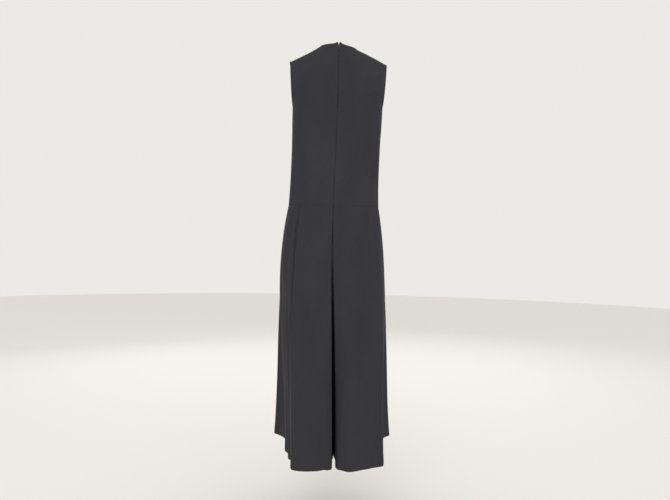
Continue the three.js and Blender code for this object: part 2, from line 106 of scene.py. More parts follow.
def soft_panel(name, place, size, power, aim=(0, 0, -0.6)):
    """A square studio light that faces the garment"""
    data = bpy.data.lights.new(name, "AREA")
    data.size = size
    data.energy = power
    panel = bpy.data.objects.new(name, data)
    bpy.context.collection.objects.link(panel)
    panel.location = place
    panel.rotation_euler = (Vector(aim) - Vector(place)).to_track_quat("-Z", "Y").to_euler()
    return panel


soft_panel("main_panel", (0.8, 3.1, 0.9), 1.5, 19)
soft_panel("fill_panel", (-1.5, 2.9, 0.0), 1.8, 7)
soft_panel("front_main_panel", (-1.0, -3.1, 1.0), 1.5, 20)
soft_panel("front_fill_panel", (1.6, -2.8, 0.2), 1.8, 8)
print("four soft panels")

# %% [markdown]
# ## Small helpers
#
# A garment is described by short tables: a few measures at a few heights, or a few folds
# round a hem. A smooth curve through a table's rows turns these into a surface that can be
# asked for a point anywhere. The curve is a cubic Hermite with slopes taken from each
# row's neighbours, the same rule that the solids use.


# %% Curves through short tables
def rows_of(columns, *rows):
    """A table with named columns, as a dictionary of arrays"""
    return {name: np.array(values, float)
            for name, values in zip(columns.split(), zip(*rows))}


def lerp(a, b, t):
    return a + (b - a) * t


def smooth(v):
    t = np.clip(v, 0, 1)
    return t * t * (3 - 2 * t)


def signed_power(v, exponent):
    v = np.where(np.abs(v) < 1e-9, 0, v)
    return np.sign(v) * np.abs(v) ** exponent


def hermite(p0, m0, p1, m1, t):
    a, b = t ** 3, t * t
    return (2 * a - 3 * b + 1) * p0 + (a - 2 * b + t) * m0 + (3 * b - 2 * a) * p1 + (a - b) * m1


def table_curve(at, value):
    """A smooth function through (at, value), flat outside its ends"""
    order = np.argsort(at)
    xs, ys = np.asarray(at, float)[order], np.asarray(value, float)[order]
    index = np.arange(len(xs))
    before, after = np.maximum(index - 1, 0), np.minimum(index + 1, len(xs) - 1)
    slopes = (ys[after] - ys[before]) / (xs[after] - xs[before])

    def curve(v):
        v = np.asarray(v, float)
        i = np.clip(np.searchsorted(xs, v) - 1, 0, len(xs) - 2)
        h = xs[i + 1] - xs[i]
        t = np.clip((v - xs[i]) / h, 0, 1)
        return hermite(ys[i], slopes[i] * h, ys[i + 1], slopes[i + 1] * h, t)

    return curve


def round_curve(turn, value):
    """The same for a table that runs once round, in degrees"""
    return table_curve(np.concatenate([turn - 360, turn, turn + 360]), np.tile(value, 3))


# %% [markdown]
# ## The garment's own sizes
#
# These are the measures that the solids in the frame were made from. `turn` says where a
# point lies round the body: 0 is the centre back, 90 the left side and 180 the centre
# front. Repeating the sizes here, instead of copying the solids' few points, lets each
# shell have hundreds of rows and columns while it stays on its solid's form.

# %% Sizes of the bodice
UNDERARM, DROP_WAIST, FORK, CROTCH, HEM = -164, -480, -600, -690, -1261
ROUNDNESS = 0.83
WALL = 1.6
HALF_GAP = 0.15
NECK_HALF, NECK_POINT_Y, NECK_BACK_Y, NECK_FRONT_Y = 54, 8, 47, -60
SHOULDER_HALF, SHOULDER_TIP_Y, RIGHT_DROP = 152, 2, 5
NOTCH_HALF, NOTCH_FROM, NOTCH_REACH = 3.6, 0.94, 10.8

RIDGE = rows_of("x z", (0, 58), (54, 27), (103, 2), (152, -22))
TORSO = rows_of(
    "z half back front",
    (-480, 142, 100, 98), (-430, 140, 91, 96), (-370, 139, 87, 97),
    (-285, 139, 96, 108), (-215, 141, 106, 119), (-164, 142, 109, 115))
SWAY = rows_of(
    "z x", (-1261, -8), (-1055, -4), (-860, 1), (-700, 6), (-580, 8), (-456, 7),
    (-300, 3), (-164, 0), (30, 0))
# how a column of cloth leaves the underarm level and arrives at the shoulder's ridge
LEAVE = {True: ((0, 8, 150), (0, 230, 15)), False: ((0, 6, 110), (-4, -200, 15))}
ARRIVE = {True: ((0, -165, 40), (8, -200, 50)), False: ((0, 125, 55), (14, 170, 60))}

ridge_height = table_curve(RIDGE["x"], RIDGE["z"])
half_at = table_curve(TORSO["z"], TORSO["half"])
back_at = table_curve(TORSO["z"], TORSO["back"])
front_at = table_curve(TORSO["z"], TORSO["front"])
sway_at = table_curve(SWAY["z"], SWAY["x"])
NECK_TURN = math.degrees(math.asin((NECK_HALF / SHOULDER_HALF) ** (1 / ROUNDNESS)))
print("the shoulder seam starts at turn", round(NECK_TURN, 1))


# %% The bodice as a surface
def ring(turn, z):
    """A point on the torso's ring"""
    c, s = np.cos(np.radians(turn)), np.sin(np.radians(turn))
    depth = np.where(c > 0, back_at(z), front_at(z))
    return np.stack([half_at(z) * signed_power(s, ROUNDNESS),
                     depth * signed_power(c, ROUNDNESS), z + 0 * turn], -1)


def yoke_point(turn, share, back):
    """A point between the underarm (share 0) and the ridge of the shoulder (share 1)"""
    side = np.where(turn > 180, -1.0, 1.0)
    from_back = np.where(turn > 180, 360 - turn, turn)
    from_centre = np.clip(from_back if back else 180 - from_back, 0, 90)
    edge = ((from_centre / 90) ** 4)[..., None]
    leave = lerp(np.array(LEAVE[back][0]), np.array(LEAVE[back][1]), edge)
    arrive = lerp(np.array(ARRIVE[back][0]), np.array(ARRIVE[back][1]), edge)
    foot = ring(turn, UNDERARM + 0 * turn)
    foot[..., 0] = np.abs(foot[..., 0])
    x = SHOULDER_HALF * np.sin(np.radians(from_centre)) ** ROUNDNESS
    y = lerp(NECK_POINT_Y, SHOULDER_TIP_Y, x / SHOULDER_HALF)
    p = hermite(foot, leave, np.stack([x, y, ridge_height(x)], -1), arrive, share[..., None])
    p[..., 2] -= np.where(side < 0, RIGHT_DROP * share * p[..., 0] / SHOULDER_HALF, 0)
    p[..., 0] *= side
    return p


def neck_share(turn, back):
    """The share of the way to the ridge at which the round neckline cuts a column"""
    depth = (NECK_BACK_Y if back else NECK_FRONT_Y) - NECK_POINT_Y
    low, high = np.zeros_like(turn), np.ones_like(turn)
    for _ in range(40):
        middle = (low + high) / 2
        p = yoke_point(turn, middle, back)
        inside = (p[..., 0] / NECK_HALF) ** 2 + ((p[..., 1] - NECK_POINT_Y) / depth) ** 2 < 1
        low, high = np.where(inside, low, middle), np.where(inside, middle, high)
    return low


def bodice_point(turn, level, back):
    """Level 0 is the dropped waist, 1 the underarm and 2 the top edge"""
    turn, level = np.broadcast_arrays(np.asarray(turn, float), np.asarray(level, float))
    below = ring(turn, lerp(DROP_WAIST, UNDERARM, np.minimum(level, 1)))
    share = np.maximum(level - 1, 0) * neck_share(turn, back)
    return np.where((level <= 1)[..., None], below, yoke_point(turn, share, back))


# %% [markdown]
# ## The legs as surfaces
#
# A culotte leg hangs from the dropped waist and opens into a wide hem. The hem is a table
# of folds, each with the place round the waist that it hangs from. Between the two, every
# column of cloth falls in a line, pushed out a little over the seat and the hip.

# %% Sizes of the legs
SEAT_SWELL, HIP_SWELL, SWELL_SCALE = 8.3, 21, 27 / 4
CROTCH_HALF = 0.05
PLEATS = rows_of("turn depth width fade", (42, 6, 3.6, 0.42), (56, 5, 3.6, 0.34),
                 (124, 5, 3.6, 0.34), (138, 6, 3.6, 0.42))
LEFT_HEM = rows_of(
    "turn x y",
    (0, 5, 58), (9, 18, 108), (18, 36, 140), (29, 65, 151), (39, 102, 150),
    (47, 124, 138), (58, 129, 98), (74, 139, 26), (88, 158, -32), (97, 149, -80),
    (104, 174, -146), (112, 210, -190), (122, 180, -213), (134, 130, -188),
    (146, 92, -205), (157, 52, -192), (169, 19, -156), (180, 5, -104),
    (225, 0.8, -62), (270, 0.8, -20), (315, 0.8, 20))
RIGHT_HEM = rows_of(
    "turn x y",
    (0, 4, 60), (9, 12, 106), (18, 26, 138), (28, 49, 150), (38, 82, 134),
    (49, 118, 115), (60, 150, 94), (75, 142, 32), (88, 152, -32), (97, 148, -84),
    (104, 168, -148), (112, 194, -190), (122, 166, -212), (134, 122, -190),
    (146, 86, -203), (157, 48, -190), (169, 17, -154), (180, 5, -104),
    (225, 0.8, -60), (270, 0.8, -18), (315, 0.8, 22))


def fall(z):
    """How far down the leg a height is, 0 at the dropped waist and 1 at the hem"""
    return (DROP_WAIST - z) / (DROP_WAIST - HEM)


def solid_pleats(turn, t):
    """The soft troughs that the solids have below the dropped waist.

    The cloth takes a share of their depth; its own lines come from the tables of folds."""
    depth = np.zeros(np.broadcast(turn, t).shape)
    for at, deep, width, fade in zip(*PLEATS.values()):
        along = smooth(t / 0.03) * (1 - smooth((t - 0.06) / fade))
        depth -= deep * along * np.exp(-((turn - at) / width) ** 2)
    return depth


def outer_leg_point(hem, turn, z):
    """From the centre back (turn 0) round the outside to the centre front (turn 180)"""
    turn, z = np.broadcast_arrays(np.asarray(turn, float), np.asarray(z, float))
    t = fall(z)
    top = ring(turn, DROP_WAIST + 0 * z)
    out = top[..., :2] / np.linalg.norm(top[..., :2], axis=-1, keepdims=True)
    full = lerp(SEAT_SWELL, HIP_SWELL, np.sin(np.radians(turn)) ** 4)
    swell = full * SWELL_SCALE * t * (1 - t) ** 2 + hem["pleats"] * solid_pleats(turn, t)
    x = lerp(top[..., 0], hem["x"](turn), t) + out[..., 0] * swell
    y = lerp(top[..., 1], hem["y"](turn), t) + out[..., 1] * swell
    centre = (turn == 0) | (turn == 180)
    parted = np.clip((t - fall(FORK)) / (1 - fall(FORK)), 0, 1)
    x = np.where(centre, hem["x"](turn) * parted, x)
    return np.stack([x, y, z], -1)


def inner_leg_point(hem, turn, z):
    """From the centre front (turn 180) under the crotch to the centre back (turn 360)"""
    turn, z = np.broadcast_arrays(np.asarray(turn, float), np.asarray(z, float))
    front = outer_leg_point(hem, 180, FORK)[..., 1]
    back = outer_leg_point(hem, 0, FORK)[..., 1]
    a = np.radians(turn - 180)
    top_y = (front + back) / 2 - (back - front) / 2 * np.cos(a)
    top_z = FORK - (FORK - CROTCH) * np.sin(a)
    t = (FORK - z) / (FORK - HEM)
    p = np.stack([lerp(CROTCH_HALF, hem["x"](turn), t), lerp(top_y, hem["y"](turn), t),
                  lerp(top_z, HEM, t)], -1)
    p = np.where((turn == 180)[..., None], outer_leg_point(hem, 180, z), p)
    return np.where((turn == 360)[..., None], outer_leg_point(hem, 0, z), p)


hems = {name: {"x": round_curve(rows["turn"], rows["x"]),
               "y": round_curve(rows["turn"], rows["y"]), "pleats": share}
        for name, rows, share in (("left", LEFT_HEM, 0.5), ("right", RIGHT_HEM, 0.3))}
print("hem folds", len(LEFT_HEM["turn"]), "and", len(RIGHT_HEM["turn"]))

# %% [markdown]
# ## Folds placed one by one
#
# Crepe hangs in long soft folds, so there is nothing for a cloth simulation to add that a
# few placed ridges and troughs don't do better and the same on every run. Each row below
# is one fold of a leg: where it starts and ends round the waist, how far down it runs, how
# wide it is on each side, and how high. A knife pleat is a trough that is steep on one
# side and soft on the other. No two are alike in length, depth or spacing.

# %% Folds of the legs
# begin and end are turns; top and foot are shares of the fall; near and far are the half
# widths in degrees towards the centre back and away from it; height in mm, minus inwards
FOLD_COLUMNS = "begin end bow top foot near far height"
LEFT_FOLDS = rows_of(
    FOLD_COLUMNS,
    (43.5, 49, -1.0, 0.00, 0.58, 0.8, 2.0, -4.8), (41.3, 46, -1.0, 0.02, 0.56, 2.0, 0.8, 1.8),
    (62, 68, 1.0, 0.03, 0.44, 1.1, 2.2, -2.8), (59.5, 65.5, 0.8, 0.02, 0.44, 2.0, 1.0, 1.2),
    (47, 82, 2.0, 0.30, 1.50, 2.2, 1.8, 3.8), (66, 70, 0.0, 0.56, 1.50, 1.8, 1.8, 3.8),
    (66, 92, 0.0, 0.25, 1.34, 2.4, 2.2, 2.8), (55, 84, 0.0, 0.28, 1.36, 1.8, 2.0, -3.4),
    (27, 30, 1.0, 0.30, 1.50, 5.5, 4.2, -0.9), (18, 20, -1.0, 0.22, 1.40, 5.0, 6.0, 0.8),
    (35, 38, 0.4, 0.10, 0.62, 3.4, 2.4, 0.5),
    (124, 117, -1.2, 0.00, 0.44, 1.0, 2.4, -2.8), (121.5, 114, -1.0, 0.00, 0.50, 2.6, 1.1, 1.3),
    (138, 131, -1.4, 0.00, 0.60, 1.0, 2.6, -3.2), (135.5, 128, -1.4, 0.00, 0.64, 2.8, 1.1, 1.4),
    (106, 108, 1.0, 0.32, 1.40, 3.6, 3.0, -2.0), (117, 119, -0.8, 0.50, 1.42, 2.6, 3.0, -1.5),
    (151, 150, 0.8, 0.36, 1.46, 3.4, 4.4, -1.7), (161, 163, 0.4, 0.28, 1.38, 3.6, 3.0, 1.2),
    (172, 171, -0.4, 0.60, 1.40, 2.6, 2.6, -1.2))
RIGHT_FOLDS = rows_of(
    FOLD_COLUMNS,
    (42.5, 45, 0.6, 0.00, 0.36, 0.9, 1.6, -1.5), (56.5, 54, 0.6, 0.00, 1.34, 0.9, 1.3, -1.4),
    (59, 57.5, 0.4, 0.00, 0.34, 1.6, 1.3, 0.9), (64, 59, -0.5, 0.10, 1.42, 1.3, 1.4, -1.1),
    (71, 68, 0.0, 0.30, 1.42, 2.4, 2.4, 2.0), (48, 50, 0.6, 0.46, 1.42, 3.4, 3.4, -0.6),
    (31, 29, -0.8, 0.40, 1.50, 4.8, 5.4, -0.9), (20, 22, 1.2, 0.30, 1.40, 5.6, 5.0, 0.8),
    (36, 37, 0.5, 0.12, 0.58, 3.0, 2.6, 0.4), (83, 89, 1.0, 0.16, 1.30, 4.4, 3.2, -1.6),
    (125, 119, -1.0, 0.00, 0.38, 1.0, 2.2, -2.3), (122.5, 116, -1.0, 0.00, 0.44, 2.4, 1.1, 1.1),
    (139, 133, -1.2, 0.00, 0.54, 1.0, 2.4, -2.8), (136.5, 130, -1.2, 0.00, 0.58, 2.6, 1.1, 1.2),
    (105, 107, 0.8, 0.38, 1.40, 3.2, 3.2, -1.9), (118, 117, 0.8, 0.44, 1.40, 3.0, 2.6, -1.3),
    (150, 151, -0.6, 0.30, 1.44, 4.0, 3.8, -1.6), (162, 161, 0.6, 0.34, 1.36, 3.2, 3.4, 1.1),
    (171, 172, 0.4, 0.54, 1.42, 2.8, 2.4, -1.1))


def fold_height(folds, turn, t):
    """The height of all the folds at a place on the leg, in millimetres"""
    turn, t = np.broadcast_arrays(np.asarray(turn, float), np.asarray(t, float))
    height = np.zeros(turn.shape)
    for begin, end, bow, top, foot, near, far, rise in zip(*folds.values()):
        s = np.clip((t - top) / (foot - top), 0, 1)
        aside = turn - (lerp(begin, end, s) + bow * 4 * s * (1 - s))
        ends = smooth(s / 0.16) * smooth((1 - s) / 0.5)
        height += rise * ends * np.exp(-(aside / np.where(aside < 0, near, far)) ** 2)
    return height


# %% [markdown]
# ## Creases of the bodice
#
# The bodice is cut close, so it has few creases: soft drag lines that run in from the
# underarm, two or three across the small of the back, and one below the neck. Each is a
# straight or slightly bowed trough between two places, given by turn and level, that
# fades at both ends. The front gets its own, since it was not in the picture.

# %% Creases of the bodice
# from and to are places (turn, level); width in degrees of turn; height in mm
CREASE_COLUMNS = "turn_a level_a turn_b level_b bow width height"
BODICE_CREASES = rows_of(
    CREASE_COLUMNS,
    (84, 0.94, 48, 0.62, 3, 3.2, -1.5), (88, 0.80, 58, 0.44, -3, 3.4, -1.2),
    (80, 0.36, 46, 0.28, 2, 3.0, -1.3), (84, 0.24, 56, 0.20, -2, 2.6, -1.1),
    (76, 0.48, 40, 0.42, 2, 3.2, 0.9), (20, 1.72, 52, 1.52, 3, 3.6, -1.2),
    (62, 1.30, 78, 1.05, -2, 3.6, -1.4), (6, 0.42, 24, 0.36, 1, 3.0, -0.9),
    (277, 0.92, 314, 0.56, -3, 3.4, -1.4), (272, 0.74, 300, 0.50, 3, 3.0, -1.0),
    (279, 0.33, 316, 0.27, -2, 3.2, -1.4), (276, 0.20, 300, 0.17, 2, 2.6, -1.0),
    (284, 0.46, 322, 0.38, 2, 3.0, 0.9), (341, 1.70, 310, 1.55, -3, 3.4, -1.0),
    (296, 1.28, 283, 1.04, 2, 3.4, -1.3), (353, 0.30, 338, 0.26, -1, 3.0, -0.8),
    (97, 0.93, 138, 0.70, -3, 3.6, -1.7), (94, 0.72, 124, 0.52, 3, 3.0, -1.2),
    (99, 0.34, 140, 0.27, 2, 3.2, -1.3), (263, 0.95, 226, 0.66, 3, 3.4, -1.6),
    (266, 0.70, 238, 0.50, -3, 3.2, -1.1), (261, 0.30, 222, 0.25, -2, 3.0, -1.2),
    (150, 0.38, 176, 0.33, 1, 3.0, -0.8), (110, 1.34, 101, 1.06, -2, 3.4, -1.3),
    (251, 1.36, 258, 1.08, 2, 3.2, -1.2), (140, 1.60, 158, 1.78, 2, 3.2, -0.9))
LEVEL_DEGREES = 150             # one level of height is about as long as this many degrees


def crease_height(turn, level):
    """The height of the bodice's creases at a place, in millimetres"""
    height = np.zeros(np.broadcast(turn, level).shape)
    for turn_a, level_a, turn_b, level_b, bow, width, rise in zip(*BODICE_CREASES.values()):
        run, climb = turn_b - turn_a, (level_b - level_a) * LEVEL_DEGREES
        length = math.hypot(run, climb)
        du, dv = turn - turn_a, (level - level_a) * LEVEL_DEGREES
        s = np.clip((du * run + dv * climb) / length ** 2, 0, 1)
        aside = (dv * run - du * climb) / length - bow * 4 * s * (1 - s)
        height += rise * smooth(s / 0.4) * smooth((1 - s) / 0.4) * np.exp(-(aside / width) ** 2)
    return height


def undulation(turn, v):
    """The slow unevenness that hanging cloth always has, about half a millimetre"""
    return (0.30 * np.sin(np.radians(turn * 7 + v * 0.61 + 20))
            + 0.24 * np.sin(np.radians(turn * 13 - v * 0.43 + 110))
            + 0.16 * np.sin(np.radians(turn * 19 + v * 1.37 + 250)))


# %% [markdown]
# ## From a grid of points to a thin shell
#
# A sheet of points becomes cloth in three steps: the points are moved out or in by the
# folds, a second layer follows 1.6 mm inside, and the open edges are closed by a rounded
# rim, because a turned edge of cloth is never sharp. Solidify could do the second step,
# but its rim is square. Making the rim here also lets each seam edge draw back a little,
# which leaves the fine groove that a pressed seam has.

# %% A closed, round-edged shell
EDGE_ROUND = 0.45               # how far the rounded rim stands out of an open edge
SEAM_ROUND, SEAM_GAP = 0.10, 0.04   # the same at a seam, and the room left on each side of it
WAIST_GAP = -0.05                   # the waist seam is pressed so flat that its edges touch
LEAF_DEPTH, LEAF_THICK, LEAF_STATIONS = WALL + 0.12, 0.7, 6
STITCH_OUT = 0.12               # how far a stitch's middle stands off the cloth
stitch_lines = {}               # where the sewing runs, filled in as the pieces are made
RIM_ANGLES = np.radians([45, 90, 135])


def joined(sheets):
    """Merges grids that share a column. A sheet has point, uv, fold, face and gap arrays"""
    flat = {key: np.concatenate([s[key].reshape(s["fold"].size, -1) for s in sheets])
            for key in ("point", "uv", "fold", "face", "gap", "wear")}
    keys = np.round(flat["point"] * 1000).astype(np.int64)
    _, first, where = np.unique(keys, axis=0, return_index=True, return_inverse=True)
    where = where.reshape(-1)
    quads, grids, start = [], [], 0
    for s in sheets:
        rows, cols = s["fold"].shape
        ids = where[start:start + rows * cols].reshape(rows, cols)
        start += rows * cols
        grids.append(ids)
        quads.append(np.stack([ids[:-1, :-1], ids[:-1, 1:], ids[1:, 1:], ids[1:, :-1]], -1)
                     .reshape(-1, 4))
    data = {key: value[first] for key, value in flat.items()}
    return data, np.concatenate(quads), grids


def point_normals(points, quads):
    across = points[quads[:, 2]] - points[quads[:, 0]]
    along = points[quads[:, 3]] - points[quads[:, 1]]
    facing = np.cross(across, along)
    normals = np.zeros_like(points)
    for k in range(4):
        np.add.at(normals, quads[:, k], facing)
    return normals / np.linalg.norm(normals, axis=1, keepdims=True)


def open_edges(quads):
    """Directed edges that only one quad has"""
    edges = np.concatenate([quads[:, [k, (k + 1) % 4]] for k in range(4)])
    seen = {(a, b) for a, b in edges.tolist()}
    return np.array([e for e in edges.tolist() if (e[1], e[0]) not in seen])


def turned_leaf(grid, normal, edge, rows, start, stop, seam):
    """The strip of a piece that is turned in at one of its edges and lies on its inside.

    It runs from start to stop millimetres in from the edge; a start below 0 reaches under
    the next piece. Its inner line is kept under the seam's name, for the stitches."""
    turned = {"first": lambda g: g, "last": lambda g: g[:, ::-1],
              "top": lambda g: g.transpose(1, 0, 2), "bottom": lambda g: g[::-1].transpose(1, 0, 2)}
    points, facing = turned[edge](grid)[rows], turned[edge](normal)[rows]
    reach = run_lengths(points, 1)
    stations = np.linspace(start, stop, LEAF_STATIONS)
    place = np.stack([[np.interp(stations, d, row[:, k]) for k in range(3)]
                      for d, row in zip(reach, points)]).transpose(0, 2, 1)
    lean = np.stack([[np.interp(stations, d, row[:, k]) for k in range(3)]
                     for d, row in zip(reach, facing)]).transpose(0, 2, 1)
    away = points[:, 0] - points[:, 1]
    away /= np.linalg.norm(away, axis=1, keepdims=True)
    place += away[:, None] * np.maximum(-stations, 0)[None, :, None]
    lean /= np.linalg.norm(lean, axis=-1, keepdims=True)
    outer, inner = place - lean * LEAF_DEPTH, place - lean * (LEAF_DEPTH + LEAF_THICK)
    stitch_lines.setdefault(seam, []).append(inner[:, -2] - lean[:, -2] * STITCH_OUT)
    count = outer.shape[0] * outer.shape[1]
    ids = np.arange(count).reshape(outer.shape[:2])
    quads = np.stack([ids[:-1, :-1], ids[:-1, 1:], ids[1:, 1:], ids[1:, :-1]], -1).reshape(-1, 4)
    flat = outer.reshape(-1, 3)
    corner = flat[quads[0, :3]]
    if np.cross(corner[1] - corner[0], corner[2] - corner[0]) @ lean[0, 0] < 0:
        quads = quads[:, ::-1]
    rim = open_edges(quads)
    faces = [quads, quads[:, ::-1] + count,
             np.stack([rim[:, 1], rim[:, 0], rim[:, 0] + count, rim[:, 1] + count], -1)]
    along = run_lengths(place, 0)
    uv = np.stack([np.broadcast_to(stations, along.shape), along], -1).reshape(-1, 2)
    worn = np.broadcast_to(bell(stations - stop, 1.5), along.shape).ravel()
    return (np.concatenate([flat, inner.reshape(-1, 3)]), np.concatenate(faces),
            np.tile(uv, (2, 1)), np.tile(worn, 2))


def shell(name, sheets, out_sign=1):
    """Turns sheets into one closed wall of cloth and returns its object"""
    data, quads, grids = joined(sheets)
    if out_sign < 0:
        quads = quads[:, ::-1]
    base = data["point"]
    normals = point_normals(base, quads)
    middle = base + normals * data["fold"]
    normals = point_normals(middle, quads)
    leaves = [turned_leaf(middle[ids], normals[ids], *leaf[:-1], (name, leaf[-1]))
              for ids, sheet in zip(grids, sheets) for leaf in sheet["leaves"]]
    edges = open_edges(quads)
    rim = np.unique(edges)
    outward = np.zeros_like(middle)
    step = middle[edges[:, 1]] - middle[edges[:, 0]]
    side = np.cross(step, normals[edges[:, 0]])
    for k in range(2):
        np.add.at(outward, edges[:, k], side)
    outward[rim] /= np.linalg.norm(outward[rim], axis=1, keepdims=True)
    rounded = np.where(data["gap"][rim] != 0, SEAM_ROUND, EDGE_ROUND)
    middle[rim] -= outward[rim] * (rounded + data["gap"][rim])
    outer = middle + normals * data["face"]
    inner = middle - normals * WALL
    layers, rim_index = [outer, inner], {}
    count = len(middle)
    thick = (outer - inner)[rim]
    for k, angle in enumerate(RIM_ANGLES):
        layers.append((outer[rim] + inner[rim]) / 2 + thick / 2 * math.cos(angle)
                      + outward[rim] * rounded * math.sin(angle))
    place = np.full(count, -1)
    place[rim] = np.arange(len(rim))
    rings = [edges] + [2 * count + k * len(rim) + place[edges] for k in range(3)]
    rings.append(edges + count)
    faces = [quads, quads[:, ::-1] + count]
    for a, b in zip(rings, rings[1:]):
        faces.append(np.stack([a[:, 1], a[:, 0], b[:, 0], b[:, 1]], -1))
    copies = [np.arange(count), np.arange(count)] + [rim] * 3
    source = np.concatenate(copies)
    inside = np.concatenate([np.zeros(count), np.ones(count)]
                            + [np.full(len(rim), k / 4) for k in (1, 2, 3)])
    points, uv, wear = np.concatenate(layers), data["uv"][source], data["wear"][source, 0]
    for leaf_points, leaf_faces, leaf_uv, leaf_wear in leaves:
        faces.append(leaf_faces + len(points))
        points, uv = np.concatenate([points, leaf_points]), np.concatenate([uv, leaf_uv])
        wear = np.concatenate([wear, leaf_wear])
        inside = np.concatenate([inside, np.ones(len(leaf_points))])
    return cloth_object(name, points * MM, np.concatenate(faces), uv * MM, wear, inside)


def cloth_object(name, points, faces, uv, wear, inside):
    mesh = bpy.data.meshes.new(name)
    mesh.from_pydata(points.tolist(), [], faces.tolist())
    mesh.update()
    corners = np.empty(len(mesh.loops), np.int32)
    mesh.loops.foreach_get("vertex_index", corners)
    mesh.uv_layers.new(name="cut").data.foreach_set("uv", uv[corners].ravel())
    for label, values in (("wear", wear), ("inside", inside)):
        mesh.attributes.new(label, "FLOAT", "POINT").data.foreach_set("value", values)
    mesh.shade_smooth()
    piece = bpy.data.objects.new(name, mesh)
    bpy.context.collection.objects.link(piece)
    return piece


def run_lengths(points, axis):
    """Distance of each grid point from the first one along an axis, over the surface"""
    steps = np.linalg.norm(np.diff(points, axis=axis), axis=-1)
    pad = [(0, 0), (0, 0)]
    pad[axis] = (1, 0)
    return np.cumsum(np.pad(steps, pad), axis=axis)


def eased(count, ends=0.5):
    """Shares from 0 to 1 that lie closer together at both ends"""
    t = np.linspace(0, 1, count)
    return t - (1 - ends) * np.sin(2 * np.pi * t) / (2 * np.pi)


def bell(distance, width):
    return np.exp(-(distance / width) ** 2)


# %% [markdown]
# ## Finishing that shows on the face
#
# A pressed seam draws the cloth down beside it and puckers it slightly. A dart is a
# stitched line that ends in nothing. The concealed zip lifts two soft lips beside the
# centre-back line and ripples them. Neck, armholes and hems are turned in, so a faint
# ridge follows their edges. All of these only move the outer face, by less than the wall.

# %% Relief of seams, darts, lips and turned edges
SEAM_DIP, SEAM_DIP_WIDTH = 0.16, 1.3
WAIST_SHARE = 0.15              # the waist seam is pressed flatter than the others
PUCKER, PUCKER_WAVE, PUCKER_REACH = 0.16, 13.0, 9.0
TURNED_RIDGE, TURNED_AT, TURNED_WIDTH = 0.30, 3.2, 2.4
HEM_DEPTH, HEM_STEP = 30.0, 0.38
LIP, LIP_AT, LIP_WIDTH = 0.9, 4.8, 2.6
CENTRE_DIP, CENTRE_DIP_WIDTH = 1.1, 1.9
ZIP_FAINT = 0.55                # what is left of the lips at the dropped waist
ZIP_RIPPLE, ZIP_WAVE, ZIP_REACH = 0.34, 26.0, 13.0
DART_TURN, DART_DIP, DART_WIDTH = 33.0, 0.7, 1.5
DART_FROM, DART_TO = 0.02, 0.74


def seam_relief(distance, along):
    """The groove of a pressed seam and its small puckers"""
    groove = -SEAM_DIP * bell(distance, SEAM_DIP_WIDTH)
    ripple = np.sin(2 * np.pi * along / PUCKER_WAVE + 1.7 * np.sin(along / 41))
    return groove + PUCKER * ripple * bell(distance, PUCKER_REACH) * smooth(distance / 3)


def turned_relief(distance):
    """The ridge beside a turned-in edge"""
    return TURNED_RIDGE * bell(distance - TURNED_AT, TURNED_WIDTH)


def zip_relief(distance, along, level):
    """Lips and ripples beside the centre-back line"""
    zipped = smooth(level / 0.03) * lerp(ZIP_FAINT, 1, smooth(level / 1.6))
    lips = LIP * bell(distance - LIP_AT, LIP_WIDTH) - CENTRE_DIP * bell(distance, CENTRE_DIP_WIDTH)
    wave = np.sin(2 * np.pi * along / ZIP_WAVE + 2.1 * np.sin(along / 57))
    return zipped * (lips + ZIP_RIPPLE * wave * bell(distance, ZIP_REACH) * smooth(distance / 4))


def dart_relief(turn, arc_per_degree, level):
    """The stitched line of a dart, deepest at the dropped waist and fading at its point"""
    from_centre = np.abs(turn - DART_TURN) * arc_per_degree
    along = smooth((level - DART_FROM) / 0.05 + 1) * smooth((DART_TO - level) / 0.22)
    return -DART_DIP * along * bell(from_centre, DART_WIDTH) + 0.5 * along * bell(from_centre, 9)


# %% [markdown]
# ## The bodice
#
# The two backs and the front are each one grid: columns from the centre round to the side
# and rows from the dropped waist to the top edge. One column falls exactly on the neck
# point, where the shoulder seam starts. Above the underarm the last column is the
# armhole's edge, below it the side seam, and the edges are finished to match.

# %% Grids of the bodice
# how much the top edge stands above its solid's, in mm, across the neck; x is to the left
STAND = rows_of(
    "x rise", (-110, 0), (-80, -2), (-63, -3.6), (-54, -2.4), (-45, 1.5), (-32, 3.7),
    (-20, 4), (-8, 4.3), (8, 4.6), (17, 6.5), (29, 8), (42, 7.4), (57, 3.7), (75, 1.4), (100, 0))
STAND_REACH = 36                # how far below the edge it starts
stand_at = table_curve(STAND["x"], STAND["rise"])
NECK_COLUMNS, SIDE_COLUMNS = 30, 74
BODY_ROWS, YOKE_ROWS = 84, 62
UNDERLAP, SET_IN, ALLOWANCE = -1.4, 1.8, 11.0   # a pressed-open seam allowance
TURN_FROM, TURN_IN = 0.6, 9.0                   # a turned-in edge
WORN, SEAM_WEAR = 2.6, 0.12                     # how far wear reaches, and how much a seam has

quarter = np.concatenate([NECK_TURN * eased(NECK_COLUMNS + 1, 0.35)[:-1],
                          lerp(NECK_TURN, 90, eased(SIDE_COLUMNS, 0.5))])
levels = np.concatenate([eased(BODY_ROWS, 0.4), 1 + eased(YOKE_ROWS, 0.45)[1:]])[::-1]


